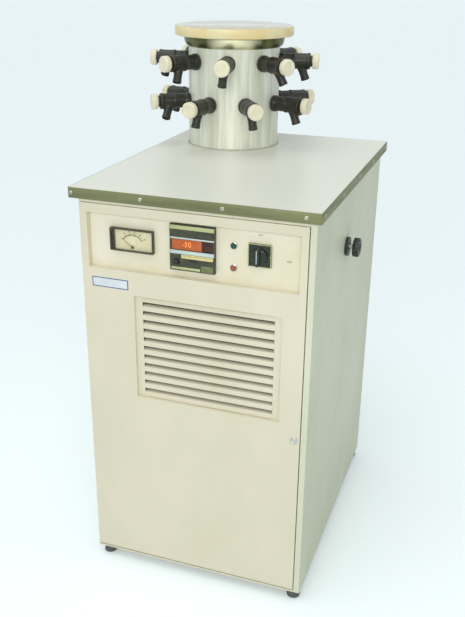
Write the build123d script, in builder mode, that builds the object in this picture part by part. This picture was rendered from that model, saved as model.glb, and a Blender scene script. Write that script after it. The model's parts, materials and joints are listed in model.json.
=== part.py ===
from build123d import *
from math import cos, radians, sin
import os

# Laboratory manifold freeze dryer: a sheet-metal cabinet with a hinged front, a worktop, and a stainless
# drum with two rows of rubber flask valves. Millimetres, +Z up, floor at Z = 0, front towards -Y.

# ---- Cabinet ----
cabinet_width = 500.0
cabinet_depth = 655.0
cabinet_height = 871.0  # from the feet's plates to the worktop's underside
sheet = 1.5
flange_width = 25.0  # inward flanges of the side panels
corner_width = 13.0  # front strip of the right side panel, beside the door
corner_return = 14.0  # its inward return, which the lock's cam holds
left_panel_setback = 20.0  # the door covers the left panel's front edge
back_sheet = 1.5

# ---- Feet ----
foot_height = 25.0
foot_radius = 15.0
foot_stud_radius = 4.0
foot_pad_height = 17.0
foot_side_inset = 18.0  # from the cabinet's sides to the foot's axis
foot_front_inset = 22.0
foot_back_inset = 14.0

# ---- Base and front rail ----
base_sheet = 2.0
base_lip_thickness = 1.5
rail_height = 11.0
rail_depth = 20.0

# ---- Worktop ----
worktop_thickness = 22.0
overhang_side = 12.0
overhang_front = 20.0
overhang_back = 16.0
band_thickness = 1.5
worktop_hole_clearance = 0.5
screw_pitch = 160.0  # along the two sides
screw_left_inset = 7.0  # along the front and back, from the board's left edge
screw_right_inset = 30.0  # from the board's right edge
screw_middles = (-103.0, 68.0)  # from the cabinet's middle
screw_head_radius = 3.5
screw_head_height = 1.0
screw_shank_radius = 1.5
screw_length = 14.0
screw_clearance = 0.05

# ---- Door ----
door_left_gap = 0.5
door_right_gap = 2.0
door_top_gap = 1.5
door_bottom_gap = 3.0
door_depth = 14.0
pivot_inset = 8.0  # hinge axis from the cabinet's left face and from the door's front face
pin_radius = 3.0
pin_head_radius = 6.0
pin_head_height = 2.0
pin_reach = 6.0  # how far a pin goes into the door
running_clearance = 0.05

# ---- Control opening and plate, measured down from the worktop's top face ----
control_left = 17.0
control_right = 15.0  # from the door's right edge
control_top = 54.0
control_height = 118.0
plate_margin = 8.0
plate_sheet = 1.5

# ---- Vacuum meter ----
meter_width = 96.0
meter_height = 48.0
meter_x = 113.0
meter_drop = 107.0
meter_proud = 10.0
meter_border = 5.0
meter_dial_depth = 7.0
meter_window_thickness = 1.5
meter_window_depth = 0.6
meter_body_width = 88.0
meter_body_height = 41.0
meter_body_depth = 52.0
needle_length = 27.0
needle_width = 1.4
needle_thickness = 0.5
needle_hub_radius = 3.0
needle_spindle_radius = 1.0
needle_pivot_drop = 15.0  # below the meter's centre
needle_rest_turn = 55.0  # degrees to the left of upright at rest
needle_gap = 1.2

# ---- Temperature indicator ----
indicator_size = 96.0
indicator_x = 246.0
indicator_drop = 108.0
indicator_proud = 9.0
indicator_body_size = 90.0
indicator_body_depth = 80.0
display_width = 88.0
display_height = 22.0
display_rise = 7.0  # above the indicator's centre
display_thickness = 2.0
display_depth = 1.0
indicator_knob_radius = 7.0
indicator_knob_height = 7.0
indicator_knob_side = 34.0
indicator_knob_drop = 30.0
indicator_knob_shaft_radius = 3.0
indicator_knob_shaft_length = 8.0

# ---- Pilot lamps ----
lamp_x = 331.0
lamp_drops = (93.0, 139.0)
lamp_lens_radius = 6.5
lamp_lens_height = 7.0
lamp_body_radius = 5.0
lamp_body_length = 28.0

# ---- Cam switch ----
switch_x = 385.0
switch_drop = 106.5
switch_plate_size = 48.0
switch_plate_thickness = 4.0
switch_body_size = 42.0
switch_body_depth = 46.0
switch_knob_radius = 17.0
switch_knob_base = 8.0
switch_grip_width = 10.0
switch_grip_length = 38.0
switch_grip_height = 16.0
switch_shaft_radius = 4.0
switch_shaft_length = 20.0

# ---- Louvre grille ----
grille_left = 117.0  # from the cabinet's left face
grille_right = 47.0  # from the door's right edge
grille_drop = 343.0
grille_opening_height = 236.0
grille_recess = 6.0
grille_margin = 8.0
grille_sheet = 1.5
louvre_margin = 16.0  # from the opening's sides to the louvres' ends
louvre_count = 11
louvre_pitch = 20.2
louvre_rise = 13.0
louvre_depth = 10.0
louvre_root = 1.0  # how far each end goes into the frame

# ---- Lock and badge ----
lock_inset = 13.0  # from the door's right edge
lock_drop = 497.0
lock_head_radius = 8.0
lock_head_height = 3.0
lock_barrel_radius = 6.0
cam_thickness = 2.0
cam_width = 12.0
cam_length = 24.0
cam_gap = 1.2
badge_left = 22.0
badge_width = 83.0
badge_height = 22.0
badge_drop = 203.0
badge_thickness = 0.8

# ---- Side vent valve ----
vent_y = 283.0
vent_drop = 158.0
vent_flange_radius = 21.0
vent_flange_thickness = 7.0
vent_body_radius = 9.0
vent_body_length = 30.0
vent_knob_radius = 21.0
vent_knob_height = 14.0
vent_stem_radius = 6.0
vent_stem_gap = 9.5
vent_stem_depth = 18.0
vent_tube_radius = 5.0
vent_tube_bend = 35.0
tube_wall = 1.0

# ---- Manifold drum ----
drum_x = 149.0
drum_back = 129.0  # from the cabinet's back face to the drum's axis
drum_radius = 110.0
drum_wall = 2.5
drum_height = 254.0  # above the worktop, to the flange's top face
drum_flange_radius = 120.0
drum_flange_straight = 9.0
drum_flange_taper = 13.0
gasket_thickness = 2.0
gasket_width = 12.0
lid_radius = 142.0
lid_thickness = 22.0
lid_chamfer = 1.5

# ---- Flask valves ----
valves_per_row = 8
valve_rows = (199.0, 104.0)  # heights of the two rows above the worktop
stub_radius = 10.0
stub_wall = 1.5
stub_length = 32.0
valve_seat_gap = 0.3
valve_foot_radius = 19.0
valve_waist_radius = 17.0
valve_foot_length = 10.0
valve_head_length = 40.0
valve_body_length = 74.0
valve_taper = 5.0
plug_radius = 11.0
plug_clearance = 0.08
plug_depth = 33.0
plug_port_radius = 5.0
plug_floor_gap = 0.5
outlet_axis_back = 26.0  # from the body's outer end to the outlet's axis
outlet_tilt = 20.0
outlet_length = 47.0
outlet_radius = 10.5
outlet_bore_radius = 6.4
outlet_bore_depth = 24.0
outlet_passage_radius = 4.0
knob_gap = 0.3
knob_neck_radius = 13.0
knob_neck_length = 5.0
knob_radius = 18.5
knob_thickness = 15.0
knob_rounding = 2.0
# Turn of each outlet about its valve's axis, from straight down, in degrees.
upper_outlet_turns = (-4, 15, 0, 8, -6, 5, -10, 15)
lower_outlet_turns = (0, 2, 0, 6, -8, 4, 0, 30)

# ---- Ice condenser vessel ----
vessel_radius = 95.0
vessel_wall = 2.0
vessel_depth = 330.0
vessel_flange_radius = 122.0
vessel_flange_thickness = 5.0
coil_tube_radius = 4.0
coil_pitch = 20.0
coil_turns = 8
coil_gap = 0.3
coil_start = 16.0  # above the vessel's bottom
insulation_gap = 0.3
insulation_radius = 126.0
insulation_floor = 24.0

# ---- Vacuum pipe ----
pipe_radius = 12.5
pipe_wall = 1.5
pipe_drop = 60.0  # from the vessel's bottom to the pipe's level run
pipe_bend = 30.0
pipe_reach = 34.0  # beyond the back panel
hole_clearance = 0.5
pipe_hole_clearance = 3.0

# ---- Back panel ----
vent_slot_length = 90.0
vent_slot_height = 6.0
vent_slot_pitch = 16.0
vent_slot_rows = 10
vent_slot_columns = 3
vent_slot_column_pitch = 120.0
vent_slot_level = 230.0
gland_right = 100.0  # from the cabinet's right face
gland_level = 110.0
gland_bore_radius = 5.0
gland_radius = 8.0
gland_dome_radius = 9.0
gland_nut_radius = 12.0
gland_nut_length = 9.0
gland_dome_length = 12.0
gland_inner_length = 14.0

# ---- Refrigeration machinery ----
compressor_right = 150.0  # from the cabinet's right face
compressor_back = 155.0  # from the cabinet's back face
compressor_radius = 78.0
compressor_height = 190.0
compressor_plate_width = 200.0
compressor_plate_depth = 130.0
compressor_plate_thickness = 4.0
compressor_leg = 14.0
core_width = 290.0
core_height = 236.0
core_depth = 44.0
core_y = 108.0
core_level = 430.0  # bottom of the core above the base
core_side_sheet = 3.0
fin_slot = 3.0
fin_pitch = 9.0
fin_slot_depth = 14.0
shroud_sheet = 2.0
shroud_ring_depth = 18.0
shroud_ring_wall = 2.0
fan_radius = 100.0
fan_tip_gap = 4.0
fan_hub_radius = 24.0
fan_hub_length = 22.0
fan_blades = 5
fan_blade_angle = 28.0
fan_blade_chord = 36.0
fan_blade_thickness = 2.0
fan_shaft_radius = 4.0
fan_shaft_depth = 16.0
fan_clearance = 3.0
motor_radius = 36.0
motor_length = 62.0
motor_arm_width = 20.0
motor_arm_thickness = 3.0
line_radius = 4.0
line_bend = 16.0

# ---- Places worked out from the sizes ----
door_right_edge = cabinet_width - corner_width - door_right_gap  # from the cabinet's left face
control_width = door_right_edge - control_right - control_left
grille_opening_width = door_right_edge - grille_right - grille_left
grille_x = grille_left + grille_opening_width / 2
louvre_width = grille_opening_width - 2 * louvre_margin
lock_x = door_right_edge - lock_inset
drum_y = cabinet_depth - drum_back
gland_x = cabinet_width - gland_right
compressor_x = cabinet_width - compressor_right
compressor_y = cabinet_depth - compressor_back
valve_pitch = 360.0 / valves_per_row
valve_start = drum_radius + valve_seat_gap
valve_end = valve_start + valve_body_length
valve_reach = valve_end + knob_gap + knob_neck_length + knob_thickness
quarter_pitch = radians(valve_pitch / 4)
valve_extent = (
    (valve_reach - knob_rounding) * cos(quarter_pitch)
    + (knob_radius - knob_rounding) * sin(quarter_pitch)
    + knob_rounding
)
vent_standout = vent_flange_thickness + vent_stem_gap + vent_knob_height
x_low = min(-overhang_side, drum_x - valve_extent)
x_high = max(cabinet_width + overhang_side, cabinet_width + vent_standout, drum_x + valve_extent)
y_low = -overhang_front - screw_head_height
y_high = max(cabinet_depth + overhang_back, cabinet_depth + pipe_reach, drum_y + valve_extent)
left = -(x_low + x_high) / 2  # the cabinet's left face
front = -(y_low + y_high) / 2  # the cabinet's front face
right = left + cabinet_width
back = front + cabinet_depth
bottom = foot_height
top = bottom + cabinet_height  # the worktop's underside
deck = top + worktop_thickness  # the worktop's top face
base_top = bottom + sheet + base_sheet
seam_right = right - corner_width  # inner edge of the right corner strip
door_left = left + door_left_gap
door_right = seam_right - door_right_gap
door_top = top - rail_height - door_top_gap
door_bottom = base_top + door_bottom_gap
door_width = door_right - door_left
door_height = door_top - door_bottom
door_x = (door_left + door_right) / 2
door_z = (door_top + door_bottom) / 2
pivot_x = left + pivot_inset
pivot_y = front + pivot_inset
drum_centre_x = left + drum_x
drum_centre_y = front + drum_y
drum_top = deck + drum_height
vessel_bottom = top - vessel_depth
control_x = left + control_left + control_width / 2
control_z = deck - control_top - control_height / 2
plate_face = front + door_depth  # front face of the control plate
plate_back = plate_face + plate_sheet


def facing(y):
    """A sketch plane at depth y that faces the front, with its x to the right and its y up."""
    return Plane(origin=(0, y, 0), x_dir=(1, 0, 0), z_dir=(0, -1, 0))


def valve_plane(row, index):
    """The plane at the drum's axis whose z runs out along a valve and whose x points down its outlet."""
    phase = valve_pitch / 4 if row == 0 else -valve_pitch / 4
    bearing = radians(phase + index * valve_pitch)
    turns = (upper_outlet_turns, lower_outlet_turns)[row]
    turn = radians(turns[index % len(turns)])
    return Plane(
        origin=(drum_centre_x, drum_centre_y, deck + valve_rows[row]),
        x_dir=(cos(bearing) * sin(turn), sin(bearing) * sin(turn), -cos(turn)),
        z_dir=(sin(bearing), -cos(bearing), 0),
    )


os.makedirs("parts", exist_ok=True)


def save(builder, name, *touching):
    """Labels a finished piece and writes it to its STEP file, with the solids that only touch it."""
    piece = builder.part
    if touching:
        piece = Compound([solid for each in (builder, *touching) for solid in each.part.solids()])
    piece.label = name
    export_step(piece, f"parts/{name}.step")


# ---- Side panels: trays of folded sheet with their open side inwards ----
side_height = cabinet_height
left_panel_depth = cabinet_depth - back_sheet - left_panel_setback
with BuildPart() as side_panel_left:
    with BuildSketch(Plane.XY.offset(bottom)):
        with Locations((left, front + left_panel_setback)):
            Rectangle(flange_width, left_panel_depth, align=(Align.MIN, Align.MIN))
    extrude(amount=side_height)
    with BuildSketch(Plane.XY.offset(bottom + sheet)):
        with Locations((left + sheet, front + left_panel_setback + sheet)):
            Rectangle(flange_width, left_panel_depth - 2 * sheet, align=(Align.MIN, Align.MIN))
    extrude(amount=side_height - 2 * sheet, mode=Mode.SUBTRACT)
save(side_panel_left, "side_panel_left")

right_panel_depth = cabinet_depth - back_sheet
with BuildPart() as corner_post:
    with BuildSketch(Plane.XY.offset(bottom)):
        with Locations((right, front)):
            Rectangle(corner_width, sheet, align=(Align.MAX, Align.MIN))
        with Locations((seam_right, front)):
            Rectangle(sheet, corner_return, align=(Align.MIN, Align.MIN))
    extrude(amount=side_height)
with BuildPart() as side_panel_right:
    with BuildSketch(Plane.XY.offset(bottom)):
        with Locations((right, front + sheet)):
            Rectangle(flange_width, right_panel_depth - sheet, align=(Align.MAX, Align.MIN))
    extrude(amount=side_height)
    with BuildSketch(Plane.XY.offset(bottom + sheet)):
        with Locations((right - sheet, front + sheet)):
            Rectangle(flange_width, right_panel_depth - 2 * sheet, align=(Align.MAX, Align.MIN))
    extrude(amount=side_height - 2 * sheet, mode=Mode.SUBTRACT)
    # The flanges stop at the corner post, which stands in front of the wall with a return behind its edge.
    with BuildSketch(Plane.XY.offset(bottom)):
        with Locations((seam_right + sheet, front)):
            Rectangle(flange_width, corner_return, align=(Align.MAX, Align.MIN))
    extrude(amount=side_height, mode=Mode.SUBTRACT)
    with BuildSketch(Plane.YZ.offset(right - sheet)):
        with Locations((front + vent_y, deck - vent_drop)):
            Circle(vent_body_radius + running_clearance)
    extrude(amount=sheet, mode=Mode.SUBTRACT)
save(side_panel_right, "side_panel_right", corner_post)

# ---- Back panel with its air slots and the holes for the pump port and the cord gland ----
pipe_level = vessel_bottom - pipe_drop
with BuildPart() as back_panel:
    with BuildSketch(facing(back)):
        with Locations((left + cabinet_width / 2, bottom + cabinet_height / 2)):
            Rectangle(cabinet_width, cabinet_height)
        with Locations((left + cabinet_width / 2, bottom + vent_slot_level)):
            with GridLocations(vent_slot_column_pitch, vent_slot_pitch, vent_slot_columns, vent_slot_rows):
                SlotOverall(vent_slot_length, vent_slot_height, mode=Mode.SUBTRACT)
        with Locations((drum_centre_x, pipe_level)):
            Circle(pipe_radius + pipe_hole_clearance, mode=Mode.SUBTRACT)
        with Locations((left + gland_x, bottom + gland_level)):
            Circle(gland_radius + running_clearance, mode=Mode.SUBTRACT)
    extrude(amount=back_sheet)
save(back_panel, "back_panel")

# ---- Base plate, on the side panels' bottom flanges, with a lip that closes the front edge ----
base_left = left + sheet
base_depth = cabinet_depth - back_sheet - sheet
with BuildPart() as base_plate:
    with BuildSketch(Plane.XY.offset(bottom + sheet)):
        with Locations((base_left, front)):
            Rectangle(seam_right - base_left, base_depth, align=(Align.MIN, Align.MIN))
            # Round the left panel's front flange.
            Rectangle(
                flange_width - sheet,
                left_panel_setback + sheet,
                align=(Align.MIN, Align.MIN),
                mode=Mode.SUBTRACT,
            )
        with Locations((left, front)):
            Rectangle(flange_width, left_panel_setback, align=(Align.MIN, Align.MIN))
        with Locations((pivot_x, pivot_y)):
            Circle(pin_radius + running_clearance, mode=Mode.SUBTRACT)
    extrude(amount=base_sheet)
    with BuildSketch(Plane.XY.offset(bottom)):
        with Locations((left, front)):
            Rectangle(seam_right - left, base_lip_thickness, align=(Align.MIN, Align.MIN))
    extrude(amount=sheet)
save(base_plate, "base_plate")

# ---- Levelling feet: a pad and a stud under each corner ----
foot_x = cabinet_width - 2 * foot_side_inset
foot_y = cabinet_depth - foot_front_inset - foot_back_inset
foot_middle = front + foot_front_inset + foot_y / 2
with BuildPart() as levelling_feet:
    with BuildSketch(Plane.XY):
        with Locations((left + cabinet_width / 2, foot_middle)):
            with GridLocations(foot_x, foot_y, 2, 2):
                Circle(foot_radius)
    extrude(amount=foot_pad_height)
    with BuildSketch(Plane.XY.offset(foot_pad_height)):
        with Locations((left + cabinet_width / 2, foot_middle)):
            with GridLocations(foot_x, foot_y, 2, 2):
                Circle(foot_stud_radius)
    extrude(amount=foot_height - foot_pad_height)
save(levelling_feet, "levelling_feet")

# ---- Front rail: the channel above the door, which ties the side panels together ----
rail_bottom = top - rail_height
with BuildPart() as front_rail:
    with BuildSketch(Plane.YZ.offset(left)):
        with Locations((front, rail_bottom)):
            Rectangle(rail_depth, rail_height, align=(Align.MIN, Align.MIN))
        with Locations((front + sheet, rail_bottom + sheet)):
            Rectangle(
                rail_depth - sheet, rail_height - 2 * sheet, align=(Align.MIN, Align.MIN), mode=Mode.SUBTRACT
            )
    extrude(amount=seam_right - left)
    # Clear of the right panel's top flange.
    with BuildSketch(Plane.XY.offset(rail_bottom)):
        with Locations((right - flange_width, front + corner_return)):
            Rectangle(flange_width, rail_depth, align=(Align.MIN, Align.MIN))
    extrude(amount=rail_height, mode=Mode.SUBTRACT)
    with BuildSketch(Plane.XY.offset(rail_bottom)):
        with Locations((pivot_x, pivot_y)):
            Circle(pin_radius + running_clearance)
    extrude(amount=sheet, mode=Mode.SUBTRACT)
save(front_rail, "front_rail")

# ---- Door hinge pins: the top one hangs by its head in the rail, the bottom one has a collar ----
with BuildPart() as door_hinge_pins:
    with BuildSketch(Plane.XY.offset(door_top - pin_reach)):
        with Locations((pivot_x, pivot_y)):
            Circle(pin_radius)
    extrude(amount=rail_bottom + sheet + pin_head_height - door_top + pin_reach)
    with BuildSketch(Plane.XY.offset(rail_bottom + sheet)):
        with Locations((pivot_x, pivot_y)):
            Circle(pin_head_radius)
    extrude(amount=pin_head_height)
    with BuildSketch(Plane.XY.offset(bottom + sheet)):
        with Locations((pivot_x, pivot_y)):
            Circle(pin_radius)
    extrude(amount=door_bottom + pin_reach - bottom - sheet)
    with BuildSketch(Plane.XY.offset(base_top)):
        with Locations((pivot_x, pivot_y)):
            Circle(pin_head_radius)
    extrude(amount=door_bottom_gap - 2 * running_clearance)
save(door_hinge_pins, "door_hinge_pins")

# ---- Front door: a folded pan with openings for the controls, the grille, the lock and the pins ----
grille_centre = (left + grille_x, deck - grille_drop)
with BuildPart() as front_door:
    with BuildSketch(facing(front + door_depth)):
        with Locations((door_x, door_z)):
            Rectangle(door_width, door_height)
    extrude(amount=door_depth)
    with BuildSketch(facing(front + door_depth)):
        with Locations((door_x, door_z)):
            Rectangle(door_width - 2 * sheet, door_height - 2 * sheet)
    extrude(amount=door_depth - sheet, mode=Mode.SUBTRACT)
    with BuildSketch(facing(front + door_depth)):
        with Locations((control_x, control_z)):
            Rectangle(control_width + 2 * sheet, control_height + 2 * sheet)
    extrude(amount=door_depth)
    with BuildSketch(facing(front + door_depth)):
        with Locations((control_x, control_z)):
            Rectangle(control_width, control_height)
    extrude(amount=door_depth, mode=Mode.SUBTRACT)
    with BuildSketch(facing(front + grille_recess)):
        with Locations(grille_centre):
            Rectangle(grille_opening_width + 2 * sheet, grille_opening_height + 2 * sheet)
    extrude(amount=grille_recess)
    with BuildSketch(facing(front + door_depth)):
        with Locations(grille_centre):
            Rectangle(grille_opening_width, grille_opening_height)
        with Locations((left + lock_x, deck - lock_drop)):
            Circle(lock_barrel_radius + running_clearance)
    extrude(amount=door_depth, mode=Mode.SUBTRACT)
    with BuildSketch(Plane.XY.offset(door_bottom)):
        with Locations((pivot_x, pivot_y)):
            Circle(pin_radius + running_clearance)
    extrude(amount=door_height, mode=Mode.SUBTRACT)
save(front_door, "front_door")

# ---- Control plate at the back of the door's recess, cut out for each instrument ----
meter_centre = (left + meter_x, deck - meter_drop)
indicator_centre = (left + indicator_x, deck - indicator_drop)
switch_centre = (left + switch_x, deck - switch_drop)
lamp_centres = [(left + lamp_x, deck - drop) for drop in lamp_drops]
cutout_gap = 2 * hole_clearance
with BuildPart() as control_plate:
    with BuildSketch(facing(plate_back)):
        with Locations((control_x, control_z)):
            Rectangle(control_width + 2 * plate_margin, control_height + 2 * plate_margin)
        with Locations(meter_centre):
            Rectangle(meter_body_width + cutout_gap, meter_body_height + cutout_gap, mode=Mode.SUBTRACT)
        with Locations(indicator_centre):
            Rectangle(
                indicator_body_size + cutout_gap, indicator_body_size + cutout_gap, mode=Mode.SUBTRACT
            )
        with Locations(switch_centre):
            Rectangle(switch_body_size + cutout_gap, switch_body_size + cutout_gap, mode=Mode.SUBTRACT)
        with Locations(*lamp_centres):
            Circle(lamp_body_radius + running_clearance, mode=Mode.SUBTRACT)
    extrude(amount=plate_sheet)
save(control_plate, "control_plate")

# ---- Vacuum meter: a black case with a sunk dial, a clear window and a needle ----
meter_face = plate_face - meter_proud
meter_dial = meter_face + meter_dial_depth
needle_pivot = (meter_centre[0], meter_centre[1] - needle_pivot_drop)
needle_back = meter_dial - needle_gap
with BuildPart() as meter_case:
    with BuildSketch(facing(plate_face)):
        with Locations(meter_centre):
            Rectangle(meter_width, meter_height)
    extrude(amount=meter_proud)
    with BuildSketch(facing(plate_face + meter_body_depth)):
        with Locations(meter_centre):
            Rectangle(meter_body_width, meter_body_height)
    extrude(amount=meter_body_depth)
    with BuildSketch(facing(meter_dial)):
        with Locations(meter_centre):
            Rectangle(meter_width - 2 * meter_border, meter_height - 2 * meter_border)
    extrude(amount=meter_dial_depth, mode=Mode.SUBTRACT)
    with BuildSketch(facing(meter_dial + needle_hub_radius)):
        with Locations(needle_pivot):
            Circle(needle_spindle_radius + running_clearance)
    extrude(amount=needle_hub_radius, mode=Mode.SUBTRACT)
save(meter_case, "meter_case")

with BuildPart() as meter_window:
    with BuildSketch(facing(meter_face + meter_window_depth + meter_window_thickness)):
        with Locations(meter_centre):
            Rectangle(meter_width - 2 * meter_border, meter_height - 2 * meter_border)
    extrude(amount=meter_window_thickness)
save(meter_window, "meter_window")

with BuildPart() as meter_needle:
    with BuildSketch(facing(needle_back)):
        with Locations(needle_pivot):
            Circle(needle_hub_radius)
        with Locations(Location((*needle_pivot, 0), (0, 0, needle_rest_turn))):
            Rectangle(needle_width, needle_length, align=(Align.CENTER, Align.MIN))
    extrude(amount=needle_thickness)
    with BuildSketch(facing(meter_dial + needle_hub_radius - needle_thickness)):
        with Locations(needle_pivot):
            Circle(needle_spindle_radius)
    extrude(amount=needle_hub_radius + needle_gap)
save(meter_needle, "meter_needle")

# ---- Temperature indicator: case, display window and setting knob ----
indicator_face = plate_face - indicator_proud
display_centre = (indicator_centre[0], indicator_centre[1] + display_rise)
indicator_knob_centre = (
    indicator_centre[0] - indicator_knob_side,
    indicator_centre[1] - indicator_knob_drop,
)
display_sink = display_depth + display_thickness
with BuildPart() as indicator_case:
    with BuildSketch(facing(plate_face)):
        with Locations(indicator_centre):
            Rectangle(indicator_size, indicator_size)
    extrude(amount=indicator_proud)
    with BuildSketch(facing(plate_face + indicator_body_depth)):
        with Locations(indicator_centre):
            Rectangle(indicator_body_size, indicator_body_size)
    extrude(amount=indicator_body_depth)
    with BuildSketch(facing(indicator_face + display_sink)):
        with Locations(display_centre):
            Rectangle(display_width, display_height)
    extrude(amount=display_sink, mode=Mode.SUBTRACT)
    with BuildSketch(facing(indicator_face + indicator_knob_shaft_length + hole_clearance)):
        with Locations(indicator_knob_centre):
            Circle(indicator_knob_shaft_radius + running_clearance)
    extrude(amount=indicator_knob_shaft_length + hole_clearance, mode=Mode.SUBTRACT)
save(indicator_case, "indicator_case")

with BuildPart() as indicator_display:
    with BuildSketch(facing(indicator_face + display_sink)):
        with Locations(display_centre):
            Rectangle(display_width, display_height)
    extrude(amount=display_thickness)
save(indicator_display, "indicator_display")

with BuildPart() as indicator_knob:
    with BuildSketch(facing(indicator_face - knob_gap)):
        with Locations(indicator_knob_centre):
            Circle(indicator_knob_radius)
    extrude(amount=indicator_knob_height)
    with BuildSketch(facing(indicator_face + indicator_knob_shaft_length)):
        with Locations(indicator_knob_centre):
            Circle(indicator_knob_shaft_radius)
    extrude(amount=indicator_knob_shaft_length + knob_gap)
save(indicator_knob, "indicator_knob")

# ---- Pilot lamps: a domed lens on a threaded body through the plate ----
for lamp_name, lamp_centre in zip(("pilot_lamp_green", "pilot_lamp_red"), lamp_centres):
    with BuildPart() as pilot_lamp:
        with BuildSketch(facing(plate_face)):
            with Locations(lamp_centre):
                Circle(lamp_lens_radius)
        extrude(amount=lamp_lens_height)
        fillet(pilot_lamp.edges().group_by(Axis.Y)[0], radius=lamp_lens_height / 2)
        with BuildSketch(facing(plate_face + lamp_body_length)):
            with Locations(lamp_centre):
                Circle(lamp_body_radius)
        extrude(amount=lamp_body_length)
    save(pilot_lamp, lamp_name)

# ---- Cam switch: square plate with the mechanism behind it, and the turning knob ----
switch_face = plate_face - switch_plate_thickness
with BuildPart() as switch_plate:
    with BuildSketch(facing(plate_face)):
        with Locations(switch_centre):
            Rectangle(switch_plate_size, switch_plate_size)
    extrude(amount=switch_plate_thickness)
    with BuildSketch(facing(plate_face + switch_body_depth)):
        with Locations(switch_centre):
            Rectangle(switch_body_size, switch_body_size)
    extrude(amount=switch_body_depth)
    with BuildSketch(facing(switch_face + switch_shaft_length + hole_clearance)):
        with Locations(switch_centre):
            Circle(switch_shaft_radius + running_clearance)
    extrude(amount=switch_shaft_length + hole_clearance, mode=Mode.SUBTRACT)
save(switch_plate, "switch_plate")

with BuildPart() as switch_knob:
    with BuildSketch(facing(switch_face - knob_gap)):
        with Locations(switch_centre):
            Circle(switch_knob_radius)
    extrude(amount=switch_knob_base)
    with BuildSketch(facing(switch_face - knob_gap)):
        with Locations(switch_centre):
            SlotOverall(switch_grip_length, switch_grip_width, rotation=90)
    extrude(amount=switch_grip_height)
    with BuildSketch(facing(switch_face + switch_shaft_length)):
        with Locations(switch_centre):
            Circle(switch_shaft_radius)
    extrude(amount=switch_shaft_length + knob_gap)
save(switch_knob, "switch_knob")

# ---- Louvre grille: a frame behind the door's recess, with sloping louvres across its opening ----
grille_face = front + grille_recess
louvre_field = (louvre_count + 1) * louvre_pitch - (louvre_pitch - louvre_rise)
louvre_low = grille_centre[1] - louvre_field / 2
grille_back = grille_face + grille_sheet
with BuildPart() as louvre_grille:
    with BuildSketch(facing(grille_back)):
        with Locations(grille_centre):
            Rectangle(grille_opening_width + 2 * grille_margin, grille_opening_height + 2 * grille_margin)
        with Locations((grille_centre[0], grille_centre[1] + grille_sheet / 2)):
            Rectangle(louvre_width, louvre_field - grille_sheet, mode=Mode.SUBTRACT)
    extrude(amount=grille_sheet)
    with BuildSketch(Plane.YZ.offset(grille_centre[0])):
        for number in range(louvre_count + 1):
            low = louvre_low + number * louvre_pitch
            with BuildLine():
                Polyline(
                    (grille_face, low),
                    (grille_face + louvre_depth, low + louvre_rise - grille_sheet),
                    (grille_face + louvre_depth, low + louvre_rise),
                    (grille_face, low + grille_sheet),
                    close=True,
                )
            make_face()
    extrude(amount=louvre_width / 2 + louvre_root, both=True)
save(louvre_grille, "louvre_grille")

# ---- Door lock: a barrel in the door with a cam behind the corner strip's return ----
lock_centre = (left + lock_x, deck - lock_drop)
cam_face = front + door_depth + cam_gap
with BuildPart() as door_lock:
    with BuildSketch(facing(front)):
        with Locations(lock_centre):
            Circle(lock_head_radius)
    extrude(amount=lock_head_height)
    with BuildSketch(facing(cam_face + cam_thickness)):
        with Locations(lock_centre):
            Circle(lock_barrel_radius)
    extrude(amount=cam_face + cam_thickness - front)
    with BuildSketch(facing(cam_face + cam_thickness)):
        with Locations(lock_centre):
            Rectangle(cam_width, cam_length, align=(Align.CENTER, Align.MAX))
    extrude(amount=cam_thickness)
save(door_lock, "door_lock")

with BuildPart() as badge_plate:
    with BuildSketch(facing(front)):
        with Locations((left + badge_left + badge_width / 2, deck - badge_drop)):
            RectangleRounded(badge_width, badge_height, badge_height / 8)
    extrude(amount=badge_thickness)
save(badge_plate, "badge_plate")

# ---- Side vent valve: flanged body through the side panel, stem and hand knob ----
vent_centre = (front + vent_y, deck - vent_drop)
with BuildPart() as vent_valve_body:
    with BuildSketch(Plane.YZ.offset(right)):
        with Locations(vent_centre):
            Circle(vent_flange_radius)
    extrude(amount=vent_flange_thickness)
    with BuildSketch(Plane.YZ.offset(right - vent_body_length)):
        with Locations(vent_centre):
            Circle(vent_body_radius)
    extrude(amount=vent_body_length)
    with BuildSketch(Plane.YZ.offset(right + vent_flange_thickness - vent_stem_depth - hole_clearance)):
        with Locations(vent_centre):
            Circle(vent_stem_radius + running_clearance)
    extrude(amount=vent_stem_depth + hole_clearance, mode=Mode.SUBTRACT)
    with BuildSketch(Plane.YZ.offset(right - vent_body_length)):
        with Locations(vent_centre):
            Circle(vent_tube_radius - tube_wall)
    extrude(amount=vent_body_length - vent_stem_depth, mode=Mode.SUBTRACT)
save(vent_valve_body, "vent_valve_body")

with BuildPart() as vent_valve_knob:
    with BuildSketch(Plane.YZ.offset(right + vent_flange_thickness + vent_stem_gap)):
        with Locations(vent_centre):
            Circle(vent_knob_radius)
    extrude(amount=vent_knob_height)
    with BuildSketch(Plane.YZ.offset(right + vent_flange_thickness - vent_stem_depth)):
        with Locations(vent_centre):
            Circle(vent_stem_radius)
    extrude(amount=vent_stem_depth + vent_stem_gap)
save(vent_valve_knob, "vent_valve_knob")

# ---- Worktop: a laminated board with the drum's hole, and the metal band round its edge ----
board_x = left + cabinet_width / 2
board_y = front + (cabinet_depth + overhang_back - overhang_front) / 2
board_width = cabinet_width + 2 * overhang_side
board_depth = cabinet_depth + overhang_front + overhang_back
screws_per_side = int(board_depth / 2 / screw_pitch) * 2 + 1
screw_columns = (screw_left_inset - board_width / 2, *screw_middles, board_width / 2 - screw_right_inset)
screw_spots = [(column, 0) for column in screw_columns]
screw_level = top + worktop_thickness / 2


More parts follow.
